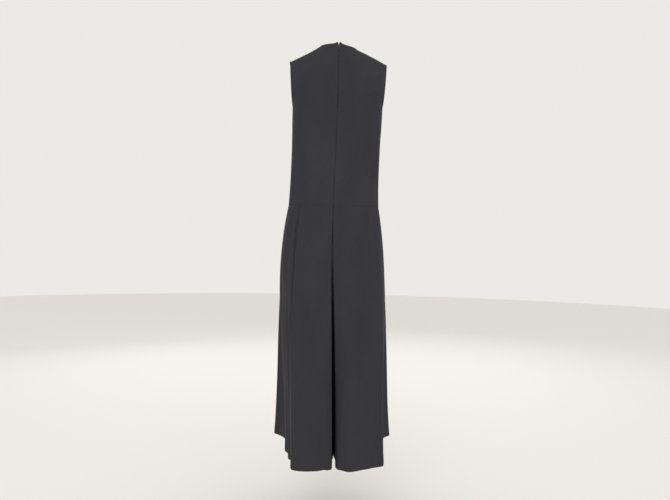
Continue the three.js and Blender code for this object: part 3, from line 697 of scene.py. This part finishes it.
def bodice_sheet(turns, back):
    """A grid of the bodice with its folds, face relief, seam gaps and wear"""
    turn, level = np.meshgrid(turns, levels)
    point = bodice_point(turn, level, back)
    across = run_lengths(point, 1)
    down = run_lengths(point, 0)
    width, height = across[:, -1:], down[-1:]
    shoulder = np.abs(point[0, :, 0]) >= NECK_HALF - 0.01
    side_seam = level[:, 0] <= 1
    from_side = [across] if back and turns[0] > 180 else [width - across]
    if not back:
        from_side = [across, width - across]
    point[..., 2] += stand_at(point[..., 0]) * smooth(1 - down / STAND_REACH)
    fold = crease_height(turn, level) + undulation(turn, down)
    face = WAIST_SHARE * seam_relief(height - down, across)
    face += np.where(shoulder, seam_relief(down, across), turned_relief(down))
    for distance in from_side:
        face += np.where(side_seam[:, None], seam_relief(distance, down), turned_relief(distance))
        fold *= lerp(0.35, 1, smooth(distance / 14))
    if back:
        from_centre = width - across if turns[0] > 180 else across
        face += zip_relief(from_centre, down, level)
        notch = NOTCH_HALF * np.clip((level - 1 - NOTCH_FROM) / (1 - NOTCH_FROM), 0, 1)
        opened = notch * np.clip(1 - np.abs(point[..., 0]) / NOTCH_REACH, 0, 1)
        point[..., 0] += opened * (-1 if turns[0] > 180 else 1)
        fold *= smooth(from_centre / 12)
    arc = width / np.ptp(turns)
    for centre_turn in ((0, 360) if back else (180,)):
        face += dart_relief(np.abs(turn - centre_turn), arc, level)
    fold *= lerp(0.3, 1, smooth((height - down) / 16)) * smooth(down / 20)
    gap = np.zeros(turn.shape)
    gap[-1] = WAIST_GAP
    gap[0, shoulder] = SEAM_GAP
    if not back or turns[0] > 180:
        gap[side_seam, 0] = SEAM_GAP
    if not back or turns[0] < 180:
        gap[side_seam, -1] = SEAM_GAP
    on_open = np.where(shoulder, SEAM_WEAR, 1) * bell(down, WORN)
    for distance in from_side:
        on_open = np.maximum(on_open, np.where(side_seam[:, None], SEAM_WEAR, 1)
                             * bell(distance, WORN))
    shift = HALF_GAP * (0 if not back else (1 if turns[0] < 180 else -1))
    point[..., 0] += sway_at(point[..., 2]) + shift
    seamed, open_rows = np.flatnonzero(side_seam), np.flatnonzero(~side_seam)
    on_shoulder, on_neck = np.flatnonzero(shoulder), np.flatnonzero(~shoulder)
    reach = (UNDERLAP, ALLOWANCE) if back else (SET_IN, ALLOWANCE)
    leaves = [("bottom", slice(None), UNDERLAP, ALLOWANCE, "waist")]
    for part in np.split(on_shoulder, np.flatnonzero(np.diff(on_shoulder) > 1) + 1):
        leaves.append(("top", part, *reach, "shoulder"))
    leaves.append(("top", on_neck, TURN_FROM, TURN_IN, "edge"))
    for name, there in (("first", not back or turns[0] > 180), ("last", not back or turns[0] < 180)):
        if there:
            leaves.append((name, seamed, *reach, "side"))
            leaves.append((name, open_rows[:-1], TURN_FROM, TURN_IN, "edge"))
    return {"point": point, "uv": np.stack([across, -down], -1), "fold": fold, "face": face,
            "gap": gap, "wear": on_open, "leaves": leaves}


back_turns = quarter
right_turns = (360 - quarter)[::-1]
front_turns = np.concatenate([(180 - quarter)[::-1], 180 + quarter[1:]])
bodice = {
    "bodice_back_left": shell("crepe_bodice_back_left", [bodice_sheet(back_turns, True)]),
    "bodice_front": shell("crepe_bodice_front", [bodice_sheet(front_turns, False)]),
    "bodice_back_right": shell("crepe_bodice_back_right", [bodice_sheet(right_turns, True)]),
}
for node, piece in bodice.items():
    print(piece.name, len(piece.data.vertices), "points")

# %% [markdown]
# ## The legs
#
# Each leg piece is two grids that share the centre column: an outer one from the centre to
# the side seam, and from the fork down an inner one that runs under the crotch to the
# inseam. The columns crowd together round the pleats, where the cloth bends most.

# %% Grids of the legs
LEG_COLUMNS, INNER_COLUMNS = 118, 32
RISE_ROWS, DROP_ROWS = 40, 128
PLEAT_CROWD = 2.2               # how much closer the columns lie round a pleat
CREASE = rows_of("t depth", (0, 0.9), (0.06, 2.0), (0.16, 3.6), (0.36, 4.8), (0.7, 3.0), (1, 3))
CREASE_WIDTH, CREASE_INNER = 2.8, 9.0   # its half width on the outer and the inner panel
CORNER_LEFT, CORNER_RIGHT = 0.80, 0.62  # how far each corner fills out to the flat of the leg
FORK_TACK = 26                  # how far below the fork the centre allowance still reaches
CROTCH_SWELL = 0.45             # the seam's thickness, which closes the line between the legs
INNER_BOW = 5.0                 # both inner legs bow the same way, so they lie on each other

rise_levels = lerp(DROP_WAIST, FORK, eased(RISE_ROWS, 0.5))
drop_levels = lerp(FORK, HEM, eased(DROP_ROWS, 0.4))
leg_levels = np.concatenate([rise_levels, drop_levels[1:]])


def crowded_turns(start, stop, count):
    """Turns from start to stop, closer together round the pleats and at both ends"""
    fine = np.linspace(start, stop, 2000)
    density = np.ones_like(fine)
    for at in PLEATS["turn"]:
        density += PLEAT_CROWD * bell(fine - at - np.sign(90 - at) * 2, 7)
    for end in (start, stop):
        density += 3 * bell(fine - end, 1.5)
    total = np.concatenate([[0], np.cumsum((density[1:] + density[:-1]) / 2)])
    turns = np.interp(np.linspace(0, total[-1], count), total, fine)
    turns[0], turns[-1] = start, stop
    return turns


def hem_relief(distance):
    """A turned-up hem: a faint step at its depth and a round lower edge"""
    return HEM_STEP * (1 - smooth((distance - HEM_DEPTH + 2) / 4)) * smooth(distance / 3)


crease_depth = table_curve(CREASE["t"], CREASE["depth"])


def squarer_corner(point, distance, t, corner, outwards):
    """Below the fork each leg stays flat nearer to the centre line than its solid does"""
    depth = outwards * point[..., 1]
    flat = np.where((distance > 30) & (distance < 110), depth, -1e9).max(axis=1, keepdims=True)
    filled = smooth(distance / 3.6) * (1 - smooth((distance - 50) / 50))
    point[..., 1] += outwards * corner * smooth((t - 0.14) / 0.28) * filled * (flat - depth)


def leg_sheets(side, back):
    """The outer and inner grids of one leg piece, built on the left side"""
    hem, folds = hems[side], LEFT_FOLDS if side == "left" else RIGHT_FOLDS
    corner = CORNER_LEFT if side == "left" else CORNER_RIGHT
    turns = crowded_turns(0, 90, LEG_COLUMNS) if back else crowded_turns(90, 180, LEG_COLUMNS)
    turn, z = np.meshgrid(turns, leg_levels)
    point = outer_leg_point(hem, turn, z)
    across, t, inwards = run_lengths(point, 1), fall(z), -1 if back else 1
    squarer_corner(point, across if back else across[:, -1:] - across, t, corner, -inwards)
    across, down = run_lengths(point, 1), run_lengths(point, 0)
    width, length = across[:, -1:], down[-1:]
    print("leg", "back" if back else "front", side, "hem", round(width[-1, 0]), "mm")
    from_side = width - across if back else across
    from_centre = across if back else width - across
    centre_seam = z >= FORK
    point[..., 1] += inwards * crease_depth(t) * bell(from_centre, CREASE_WIDTH)
    fold = fold_height(folds, turn, t) + undulation(turn + (0 if side == "left" else 31), down)
    fold *= smooth(from_centre / 18) * lerp(0.45, 1, smooth(down / 10))
    face = WAIST_SHARE * seam_relief(down, across) + hem_relief(length - down)
    face += seam_relief(from_side, down)
    face += np.where(centre_seam, 2 * seam_relief(from_centre, down), 0)
    gap = np.zeros(turn.shape)
    gap[0] = WAIST_GAP
    gap[:, -1 if back else 0] = SEAM_GAP
    worn = np.maximum(bell(length - down, WORN), SEAM_WEAR * bell(from_side, WORN))
    u = across if back else across - width
    reach = (UNDERLAP, ALLOWANCE) if back else (SET_IN, ALLOWANCE)
    crotch = (UNDERLAP, ALLOWANCE) if side == "left" else (SET_IN, ALLOWANCE)
    tacked = np.flatnonzero(z[:, 0] >= FORK - FORK_TACK)
    leaves = [("top", slice(None), SET_IN, ALLOWANCE, "waist"),
              ("last" if back else "first", slice(None), *reach, "side"),
              ("first" if back else "last", tacked, *crotch, "centre"),
              ("bottom", slice(None), TURN_FROM, HEM_DEPTH, "hem")]
    outer = {"point": point, "uv": np.stack([u, z], -1), "fold": fold, "face": face,
             "gap": gap, "wear": worn, "leaves": leaves}

    inner_turns = lerp(270, 360, eased(INNER_COLUMNS, 0.6)) if back else lerp(
        180, 270, eased(INNER_COLUMNS, 0.6))
    turn, z = np.meshgrid(inner_turns, drop_levels)
    point = inner_leg_point(hem, turn, z)
    across, down = run_lengths(point, 1), run_lengths(point, 0)
    width, length = across[:, -1:], down[-1:]
    from_inseam = across if back else width - across
    u = across - width if back else across
    gap = np.zeros(turn.shape)
    gap[0] = SEAM_GAP
    gap[:, 0 if back else -1] = SEAM_GAP
    to_centre = width - across if back else across
    point[..., 1] += inwards * crease_depth(fall(z)) * bell(to_centre, CREASE_INNER)
    bowed = INNER_BOW * np.sin(np.radians(turn - 180)) ** 2 * smooth(down / 60)
    point[..., 0] += bowed * (1 if side == "left" else -1)
    leaves = [("first" if back else "last", slice(None), *reach, "side"),
              ("bottom", slice(None), TURN_FROM, HEM_DEPTH, "hem")]
    inner = {"point": point, "uv": np.stack([u, z], -1), "fold": np.zeros(turn.shape),
             "face": CROTCH_SWELL * bell(down, 7) - 0.3 * bell(from_inseam, SEAM_DIP_WIDTH),
             "gap": gap, "wear": bell(length - down, WORN), "leaves": leaves}
    for sheet in (outer, inner):
        sheet["point"][..., 0] += HALF_GAP
        sheet["point"][..., 0] *= 1 if side == "left" else -1
        sheet["point"][..., 0] += sway_at(sheet["point"][..., 2])
    return [outer, inner]


legs = {}
for side in ("left", "right"):
    for part in ("back", "front"):
        legs[f"leg_{part}_{side}"] = shell(
            f"crepe_leg_{part}_{side}", leg_sheets(side, part == "back"),
            1 if side == "left" else -1)
for node, piece in legs.items():
    print(piece.name, len(piece.data.vertices), "points")
cloth = {**bodice, **legs}

# %% [markdown]
# ## Crepe
#
# Crepe is woven from hard-twisted yarn that crinkles as it relaxes, so its face is a fine
# matt pebble with no shine, only a faint sheen where it turns away. The grain is a bump
# made of two crossing stretched noises, read in the piece's own cut coordinates so that it
# follows the cloth. The colour wanders a little between two charcoals, painted shade darkens
# the pits of the crinkle bump, the pressed seam edges are slightly worn, and the inside is
# a touch duller.


# %% Crepe material
def add_node(tree, kind, place, **settings):
    node = tree.nodes.new(kind)
    node.location = place
    for key, value in settings.items():
        setattr(node, key, value)
    return node


def mix_colors(tree, factor, first, second, place, blend="MIX"):
    """A colour mix; first and second are sockets or plain colours"""
    mix = add_node(tree, "ShaderNodeMix", place, data_type="RGBA", blend_type=blend)
    sockets = {s.identifier: s for s in mix.inputs}
    if hasattr(factor, "is_output"):
        tree.links.new(factor, sockets["Factor_Float"])
    else:
        sockets["Factor_Float"].default_value = factor
    for value, key in ((first, "A_Color"), (second, "B_Color")):
        if hasattr(value, "is_output"):
            tree.links.new(value, sockets[key])
        else:
            sockets[key].default_value = (*value, 1)
    return next(s for s in mix.outputs if s.identifier == "Result_Color")


def ramp(tree, socket, low, high, place, to_low=0.0, to_high=1.0):
    node = add_node(tree, "ShaderNodeMapRange", place)
    for name, value in (("From Min", low), ("From Max", high), ("To Min", to_low),
                        ("To Max", to_high)):
        node.inputs[name].default_value = value
    tree.links.new(socket, node.inputs["Value"])
    return node.outputs["Result"]


def noise(tree, coordinates, scale, stretch, detail, place):
    """A noise read through a Mapping node that stretches it"""
    mapping = add_node(tree, "ShaderNodeMapping", (place[0] - 200, place[1]))
    mapping.inputs["Scale"].default_value = stretch
    tree.links.new(coordinates, mapping.inputs["Vector"])
    node = add_node(tree, "ShaderNodeTexNoise", place)
    node.inputs["Scale"].default_value = scale
    node.inputs["Detail"].default_value = detail
    node.inputs["Roughness"].default_value = 0.6
    tree.links.new(mapping.outputs["Vector"], node.inputs["Vector"])
    return node.outputs["Fac"]


def crepe_material():
    finish = bpy.data.materials.new("charcoal_crepe")
    finish.use_nodes = True
    tree = finish.node_tree
    shader = tree.nodes["Principled BSDF"]
    cut = add_node(tree, "ShaderNodeUVMap", (-1500, 0), uv_map="cut").outputs["UV"]
    place = add_node(tree, "ShaderNodeTexCoord", (-1500, -300)).outputs["Object"]
    weft = noise(tree, cut, 900, (0.45, 1.9, 1), 2.0, (-1100, 200))
    warp = noise(tree, cut, 900, (1.9, 0.5, 1), 2.0, (-1100, -50))
    crinkle = noise(tree, cut, 330, (1, 1, 1), 3.0, (-1100, -300))
    cloud = noise(tree, place, 9, (1, 1, 0.4), 3.0, (-1100, -550))
    wear = add_node(tree, "ShaderNodeAttribute", (-1100, -800), attribute_name="wear").outputs["Fac"]
    inner = add_node(tree, "ShaderNodeAttribute", (-1100, -980), attribute_name="inside")
    tone = mix_colors(tree, ramp(tree, cloud, 0.35, 0.65, (-900, -550)),
                      (0.031, 0.0315, 0.036), (0.039, 0.0395, 0.044), (-700, -400))
    fleck = mix_colors(tree, ramp(tree, weft, 0.42, 0.72, (-900, 250)), tone,
                       (0.051, 0.051, 0.057), (-500, -300))
    # painted shade: the colour is darkened where the crinkle bump is low, in its pits
    pit = mix_colors(tree, ramp(tree, crinkle, 0.34, 0.52, (-900, -250), 0.55, 0.0), fleck,
                     (0.024, 0.024, 0.026), (-320, -300))
    worn = mix_colors(tree, ramp(tree, wear, 0.25, 1.0, (-900, -800), 0.0, 0.30), pit,
                      (0.070, 0.070, 0.074), (-160, -300))
    faced = mix_colors(tree, ramp(tree, inner.outputs["Fac"], 0.6, 1.0, (-900, -980), 0.0, 0.45), worn,
                       (0.030, 0.030, 0.032), (0, -300))
    tree.links.new(faced, shader.inputs["Base Color"])
    tree.links.new(ramp(tree, crinkle, 0.3, 0.7, (-500, 60), 0.70, 0.86), shader.inputs["Roughness"])
    grain = add_node(tree, "ShaderNodeMath", (-700, 150), operation="ADD")
    tree.links.new(weft, grain.inputs[0])
    tree.links.new(warp, grain.inputs[1])
    fine = add_node(tree, "ShaderNodeBump", (-300, 150))
    fine.inputs["Strength"].default_value = 0.55
    fine.inputs["Distance"].default_value = 0.00022
    tree.links.new(grain.outputs[0], fine.inputs["Height"])
    broad = add_node(tree, "ShaderNodeBump", (-100, 100))
    broad.inputs["Strength"].default_value = 0.5
    broad.inputs["Distance"].default_value = 0.0005
    tree.links.new(crinkle, broad.inputs["Height"])
    tree.links.new(fine.outputs["Normal"], broad.inputs["Normal"])
    tree.links.new(broad.outputs["Normal"], shader.inputs["Normal"])
    shader.inputs["Sheen Weight"].default_value = 0.015
    shader.inputs["Sheen Roughness"].default_value = 0.42
    shader.inputs["Sheen Tint"].default_value = (0.62, 0.62, 0.68, 1)
    shader.inputs["Specular IOR Level"].default_value = 0.06
    return finish


crepe = crepe_material()
for piece in cloth.values():
    piece.data.materials.append(crepe)
print("crepe on", len(cloth), "pieces")

# %% [markdown]
# ## Finishes of the zip and the thread
#
# The tape is knitted, so it shows fine ribs with rows across them. Its chain is smooth
# nylon. The slider is cast metal under grey enamel, and a zip that has been used shows bare
# metal where the enamel is chipped; both its greys are painted lighter than their own, a
# painted highlight. The tab's black enamel only has hair scratches. A few noises and one
# wave make all of them.


# %% Tape, nylon, enamel and thread
def painted(name, base, second, roughness, specular, scale, low, high, bump, metal=0.0):
    """A finish with patches of a second colour where a noise is high, and a fine bump"""
    finish = bpy.data.materials.new(name)
    finish.use_nodes = True
    tree = finish.node_tree
    shader = tree.nodes["Principled BSDF"]
    place = add_node(tree, "ShaderNodeTexCoord", (-1300, 0)).outputs["Object"]
    patches = noise(tree, place, scale, (1, 1, 0.5), 4.0, (-900, 100))
    fine = noise(tree, place, scale * 3.5, (1.6, 1.6, 0.4), 3.0, (-900, -200))
    patch = ramp(tree, patches, low, high, (-600, 100))
    color = mix_colors(tree, patch, base, second, (-300, 100))
    tree.links.new(color, shader.inputs["Base Color"])
    tree.links.new(ramp(tree, fine, 0.3, 0.7, (-600, -200), *roughness), shader.inputs["Roughness"])
    if metal:
        tree.links.new(ramp(tree, patches, low, high, (-600, 350), 0.0, metal),
                       shader.inputs["Metallic"])
    relief = add_node(tree, "ShaderNodeBump", (-300, -250))
    relief.inputs["Strength"].default_value = 0.4
    relief.inputs["Distance"].default_value = bump
    tree.links.new(fine, relief.inputs["Height"])
    tree.links.new(relief.outputs["Normal"], shader.inputs["Normal"])
    shader.inputs["Specular IOR Level"].default_value = specular
    return finish


def knitted_tape():
    """Ribs down the tape and finer rows across it"""
    finish = painted("knitted_zip_tape", (0.018, 0.018, 0.020), (0.030, 0.030, 0.033),
                     (0.70, 0.88), 0.12, 420, 0.45, 0.65, 0.0001)
    tree = finish.node_tree
    shader = tree.nodes["Principled BSDF"]
    place = next(n for n in tree.nodes if n.type == "TEX_COORD").outputs["Object"]
    normal = shader.inputs["Normal"].links[0].from_socket
    for direction, scale, height, spot in (("X", 190, 0.00018, 200), ("Z", 330, 0.00010, 400)):
        ribs = add_node(tree, "ShaderNodeTexWave", (-900, -400 - spot), bands_direction=direction)
        ribs.inputs["Scale"].default_value = scale
        tree.links.new(place, ribs.inputs["Vector"])
        relief = add_node(tree, "ShaderNodeBump", (-100, -300 - spot))
        relief.inputs["Strength"].default_value = 0.7
        relief.inputs["Distance"].default_value = height
        tree.links.new(ribs.outputs["Fac"], relief.inputs["Height"])
        tree.links.new(normal, relief.inputs["Normal"])
        normal = relief.outputs["Normal"]
    tree.links.new(normal, shader.inputs["Normal"])
    return finish


tape_finish = knitted_tape()
nylon_finish = painted("black_nylon_chain", (0.016, 0.016, 0.018), (0.028, 0.028, 0.030),
                       (0.30, 0.48), 0.45, 900, 0.50, 0.70, 0.00003)
# painted highlight: the slider's grey enamel and bare metal are painted lighter than their own colours,
# standing in for the bright spot the light makes on it
slider_enamel_and_painted_highlight = painted("worn_grey_enamel", (0.46, 0.46, 0.47), (0.86, 0.85, 0.83),
                        (0.22, 0.38), 0.6, 700, 0.44, 0.54, 0.00003, metal=0.9)
tab_finish = painted("black_enamel", (0.050, 0.050, 0.055), (0.095, 0.095, 0.10),
                     (0.22, 0.40), 0.5, 500, 0.60, 0.68, 0.00002)
thread_finish = painted("black_thread", (0.024, 0.024, 0.027), (0.058, 0.058, 0.064),
                        (0.50, 0.68), 0.25, 1500, 0.42, 0.66, 0.00004)
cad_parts["zip_tape"].data.materials.clear()
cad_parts["zip_tape"].data.materials.append(tape_finish)
print("five small finishes")

# %% [markdown]
# ## Slider and pull tab
#
# Cast metal has no sharp edge, because the mould is rounded and the enamel is thick at
# corners. Each one is a copy of its solid with its doubled points merged and its flat
# triangles joined, and a narrow bevel on the edges that are left. The bevel's normals are
# hardened, so the flats stay flat and only the edges catch the light.


# %% Bevelled copies of the hardware
def softened(node, name, width, finish):
    """A merged copy of a solid with small rounded edges"""
    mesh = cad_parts[node].data.copy()
    shape = bmesh.new()
    shape.from_mesh(mesh)
    bmesh.ops.remove_doubles(shape, verts=shape.verts, dist=1e-6)
    bmesh.ops.dissolve_limit(shape, angle_limit=math.radians(2), verts=shape.verts,
                             edges=shape.edges)
    shape.to_mesh(mesh)
    shape.free()
    mesh.shade_smooth()
    piece = bpy.data.objects.new(name, mesh)
    bpy.context.collection.objects.link(piece)
    bevel = piece.modifiers.new("soft_edges", "BEVEL")
    bevel.width, bevel.segments = width, 2
    bevel.limit_method, bevel.angle_limit = "ANGLE", math.radians(32)
    bevel.harden_normals = True
    return made_plain(piece, name, finish)


def made_plain(piece, name, finish):
    """Replaces a piece's mesh by what its modifiers make of it, and removes them"""
    bpy.context.view_layer.update()
    seen = piece.evaluated_get(bpy.context.evaluated_depsgraph_get())
    mesh = bpy.data.meshes.new_from_object(seen)
    mesh.name = name
    piece.modifiers.clear()
    piece.data = mesh
    mesh.materials.clear()
    mesh.materials.append(finish)
    return piece


slider = softened("zip_slider", "enamelled_slider", 0.18 * MM, slider_enamel_and_painted_highlight)
pull_tab = softened("zip_pull_tab", "enamelled_pull_tab", 0.14 * MM, tab_finish)
print("slider", len(slider.data.polygons), "faces, tab", len(pull_tab.data.polygons))

# %% [markdown]
# ## What repeats: the zip's chain and the stitches
#
# A nylon chain is one thick thread bent into loops that lock together, left and right in
# turn. A seam's allowance is neatened with thread, a neckline is understitched close to its
# edge, and a hem is held by small pick stitches far apart. All of them are one little form
# set along a line at a pitch, so one node tree serves both: it resamples the lines, places
# the form on each point, turns it along the line and lets its size vary a little.


# %% Node tree that repeats a form along lines
def repeat_tree(name, form, axis, pivot):
    """form(tree, inputs) makes the repeated shape and returns its geometry socket"""
    tree = bpy.data.node_groups.new(name, "GeometryNodeTree")
    sockets = (("Lines", "Geometry", None), ("Width", "Float", 0.001), ("Thread", "Float", 0.0002),
               ("Unevenness", "Float", 0.08), ("Seed", "Int", 7), ("Finish", "Material", None))
    for label, kind, value in sockets:
        made = tree.interface.new_socket(name=label, in_out="INPUT",
                                         socket_type="NodeSocket" + kind)
        if value is not None:
            made.default_value = value
    tree.interface.new_socket(name="Geometry", in_out="OUTPUT", socket_type="NodeSocketGeometry")
    link = tree.links.new
    inputs = add_node(tree, "NodeGroupInput", (-1200, 0)).outputs
    lines = add_node(tree, "GeometryNodeMeshToCurve", (-900, 200))
    link(inputs["Lines"], lines.inputs["Mesh"])
    pitch = add_node(tree, "GeometryNodeInputNamedAttribute", (-900, 0), data_type="FLOAT")
    pitch.inputs["Name"].default_value = "pitch"
    points = add_node(tree, "GeometryNodeResampleCurve", (-650, 200), mode="LENGTH")
    link(lines.outputs["Curve"], points.inputs["Curve"])
    link(pitch.outputs["Attribute"], points.inputs["Length"])
    turned = add_node(tree, "FunctionNodeAlignRotationToVector", (-400, -100), axis=axis,
                      pivot_axis=pivot)
    link(add_node(tree, "GeometryNodeInputTangent", (-650, -100)).outputs["Tangent"],
         turned.inputs["Vector"])
    least = add_node(tree, "ShaderNodeMath", (-900, -350), operation="SUBTRACT")
    least.inputs[0].default_value = 1.0
    link(inputs["Unevenness"], least.inputs[1])
    size = add_node(tree, "FunctionNodeRandomValue", (-650, -350), data_type="FLOAT")
    sockets_of_float = {"Min": 2, "Max": 3}
    link(least.outputs[0], size.inputs[sockets_of_float["Min"]])
    size.inputs[sockets_of_float["Max"]].default_value = 1.0
    link(inputs["Seed"], size.inputs["Seed"])
    placed = add_node(tree, "GeometryNodeInstanceOnPoints", (-150, 150))
    link(points.outputs["Curve"], placed.inputs["Points"])
    link(form(tree, inputs), placed.inputs["Instance"])
    link(turned.outputs["Rotation"], placed.inputs["Rotation"])
    link(size.outputs[1], placed.inputs["Scale"])
    real = add_node(tree, "GeometryNodeRealizeInstances", (50, 150))
    smoothed = add_node(tree, "GeometryNodeSetShadeSmooth", (250, 150))
    colored = add_node(tree, "GeometryNodeSetMaterial", (450, 150))
    link(placed.outputs["Instances"], real.inputs["Geometry"])
    link(real.outputs["Geometry"], smoothed.inputs["Geometry"])
    link(smoothed.outputs["Geometry"], colored.inputs["Geometry"])
    link(inputs["Finish"], colored.inputs["Material"])
    done = add_node(tree, "NodeGroupOutput", (650, 150))
    link(colored.outputs["Geometry"], done.inputs["Geometry"])
    return tree


def swept(tree, inputs, path):
    """Sweeps a five-sided thread along a path and closes its ends"""
    ring = add_node(tree, "GeometryNodeCurvePrimitiveCircle", (-900, 650))
    ring.inputs["Resolution"].default_value = 5
    tree.links.new(inputs["Thread"], ring.inputs["Radius"])
    tube = add_node(tree, "GeometryNodeCurveToMesh", (-500, 650))
    tree.links.new(path, tube.inputs["Curve"])
    tree.links.new(ring.outputs["Curve"], tube.inputs["Profile Curve"])
    tube.inputs["Fill Caps"].default_value = True
    return tube.outputs["Mesh"]


def loop_form(tree, inputs):
    """One loop of the chain: a thread across the tape that bulges off it"""
    return bowed_thread(tree, inputs, (0, -1, 0), 0.55, 5)


def stitch_form(tree, inputs):
    """One stitch: a short thread along the line, higher in its middle"""
    return bowed_thread(tree, inputs, (0, 0, 0), 0, 2)


def bowed_thread(tree, inputs, towards, rise, steps):
    """A thread as wide as Width, whose middle stands off towards a direction"""
    bow = add_node(tree, "GeometryNodeCurveQuadraticBezier", (-700, 900))
    bow.inputs["Resolution"].default_value = steps
    for label, share in (("Start", -0.5), ("End", 0.5)):
        end = add_node(tree, "ShaderNodeCombineXYZ", (-900, 1000 + 200 * share))
        half = add_node(tree, "ShaderNodeMath", (-1050, 1000 + 200 * share), operation="MULTIPLY")
        half.inputs[1].default_value = share
        tree.links.new(inputs["Width"], half.inputs[0])
        tree.links.new(half.outputs[0], end.inputs["X"])
        tree.links.new(end.outputs["Vector"], bow.inputs[label])
    middle = add_node(tree, "ShaderNodeVectorMath", (-900, 1250), operation="SCALE")
    middle.inputs[0].default_value = tuple(rise * 2 * v for v in towards)
    tree.links.new(inputs["Width"], middle.inputs["Scale"])
    tree.links.new(middle.outputs["Vector"], bow.inputs["Middle"])
    return swept(tree, inputs, bow.outputs["Curve"])


chain_tree = repeat_tree("zip_chain_along_lines", loop_form, "Z", "X")
stitch_tree = repeat_tree("stitches_along_lines", stitch_form, "X", "AUTO")
print("two node trees")

# %% [markdown]
# ## Sewing the pieces
#
# The lines for the stitches were kept while the turned edges were made. The chain's line is
# the inner face of the tape: the centre-back line of the bodice, moved in by the cloth, the
# gap and the tape. Its left and right loops are half a pitch apart.

# %% Chain and stitches
PITCH = {"edge": 2.6, "hem": 8.0, "waist": 5.0, "side": 5.0, "shoulder": 5.0, "centre": 5.0}
STITCH_LENGTH, STITCH_THREAD = 1.5, 0.17
CHAIN_PITCH, LOOP_WIDTH, LOOP_THREAD, LOOP_ASIDE = 1.9, 3.0, 0.40, 0.5
CHAIN_FROM, CHAIN_TO, TAPE_THICK, TAPE_GAP = 0.02, 1.93, 1.0, 0.3
CHAIN_OUT = 0.15                # how far the loops' thread is sunk into the tape


def repeated(name, tree, lines, pitches, sizes, finish):
    """A plain mesh of forms set along lines of points in millimetres"""
    points, edges, start = np.concatenate(lines), [], 0
    for line in lines:
        ids = np.arange(start, start + len(line))
        edges.append(np.stack([ids[:-1], ids[1:]], 1))
        start += len(line)
    mesh = bpy.data.meshes.new(name + "_lines")
    mesh.from_pydata((points * MM).tolist(), np.concatenate(edges).tolist(), [])
    spacing = np.concatenate([np.full(len(line), p) for line, p in zip(lines, pitches)])
    mesh.attributes.new("pitch", "FLOAT", "POINT").data.foreach_set("value", spacing * MM)
    piece = bpy.data.objects.new(name, mesh)
    bpy.context.collection.objects.link(piece)
    modifier = piece.modifiers.new("repeat", "NODES")
    modifier.node_group = tree
    values = {"Width": sizes[0] * MM, "Thread": sizes[1] * MM, "Seed": 7, "Finish": finish}
    for item in tree.interface.items_tree:
        if item.in_out == "INPUT" and item.name in values:
            modifier[item.identifier] = values[item.name]
    return made_plain(piece, name, finish)


def tape_line(shift, aside):
    """The middle of the tape's inner face, from the waist to the slider"""
    along = np.linspace(CHAIN_FROM, CHAIN_TO, 160)
    line = bodice_point(0, along, True)
    rise = np.gradient(line, axis=0)
    rise /= np.linalg.norm(rise, axis=1, keepdims=True)
    off = np.stack([0 * rise[:, 0], rise[:, 2], -rise[:, 1]], -1)
    line = line - off * (WALL + TAPE_GAP + TAPE_THICK - CHAIN_OUT) + rise * shift
    line[:, 0] = sway_at(line[:, 2]) + aside
    return line


chain = repeated("nylon_zip_chain", chain_tree,
                 [tape_line(0, -LOOP_ASIDE), tape_line(CHAIN_PITCH / 2, LOOP_ASIDE)],
                 [CHAIN_PITCH] * 2, (LOOP_WIDTH, LOOP_THREAD), nylon_finish)
stitches = {}
for node, piece in cloth.items():
    lines, pitches = [], []
    for (owner, seam), kept in stitch_lines.items():
        if owner == piece.name:
            lines += kept
            pitches += [PITCH[seam]] * len(kept)
    stitches[node] = repeated("stitches_" + node, stitch_tree, lines, pitches,
                              (STITCH_LENGTH, STITCH_THREAD), thread_finish)
print("chain", len(chain.data.polygons), "faces, stitches",
      sum(len(made.data.polygons) for made in stitches.values()))

# %% Riding of the sewing and the hardware
for made, body, slot_name in ((slider, "jumpsuit", "slider_metal"), (pull_tab, "pull_tab", "tab_enamel"),
                              (chain, "jumpsuit", "zip_tape")):
    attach(made, body)
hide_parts("zip_slider")
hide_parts("zip_pull_tab")
for made in stitches.values():
    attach(made, "jumpsuit")
print("riding", 3 + len(stitches), "small pieces")

# %% [markdown]
# ## Riding, replacing and the cut
#
# Each shell stands for its solid and rides on the garment's body. A cloth piece is also
# declared as a sheet, with the size that it was cut to, so that whoever uses the part can
# cut the same pieces.

for node, piece in cloth.items():
    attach(piece, "jumpsuit")
    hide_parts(node)
    mesh = piece.data
    areas = np.empty(len(mesh.polygons))
    mesh.polygons.foreach_get("area", areas)
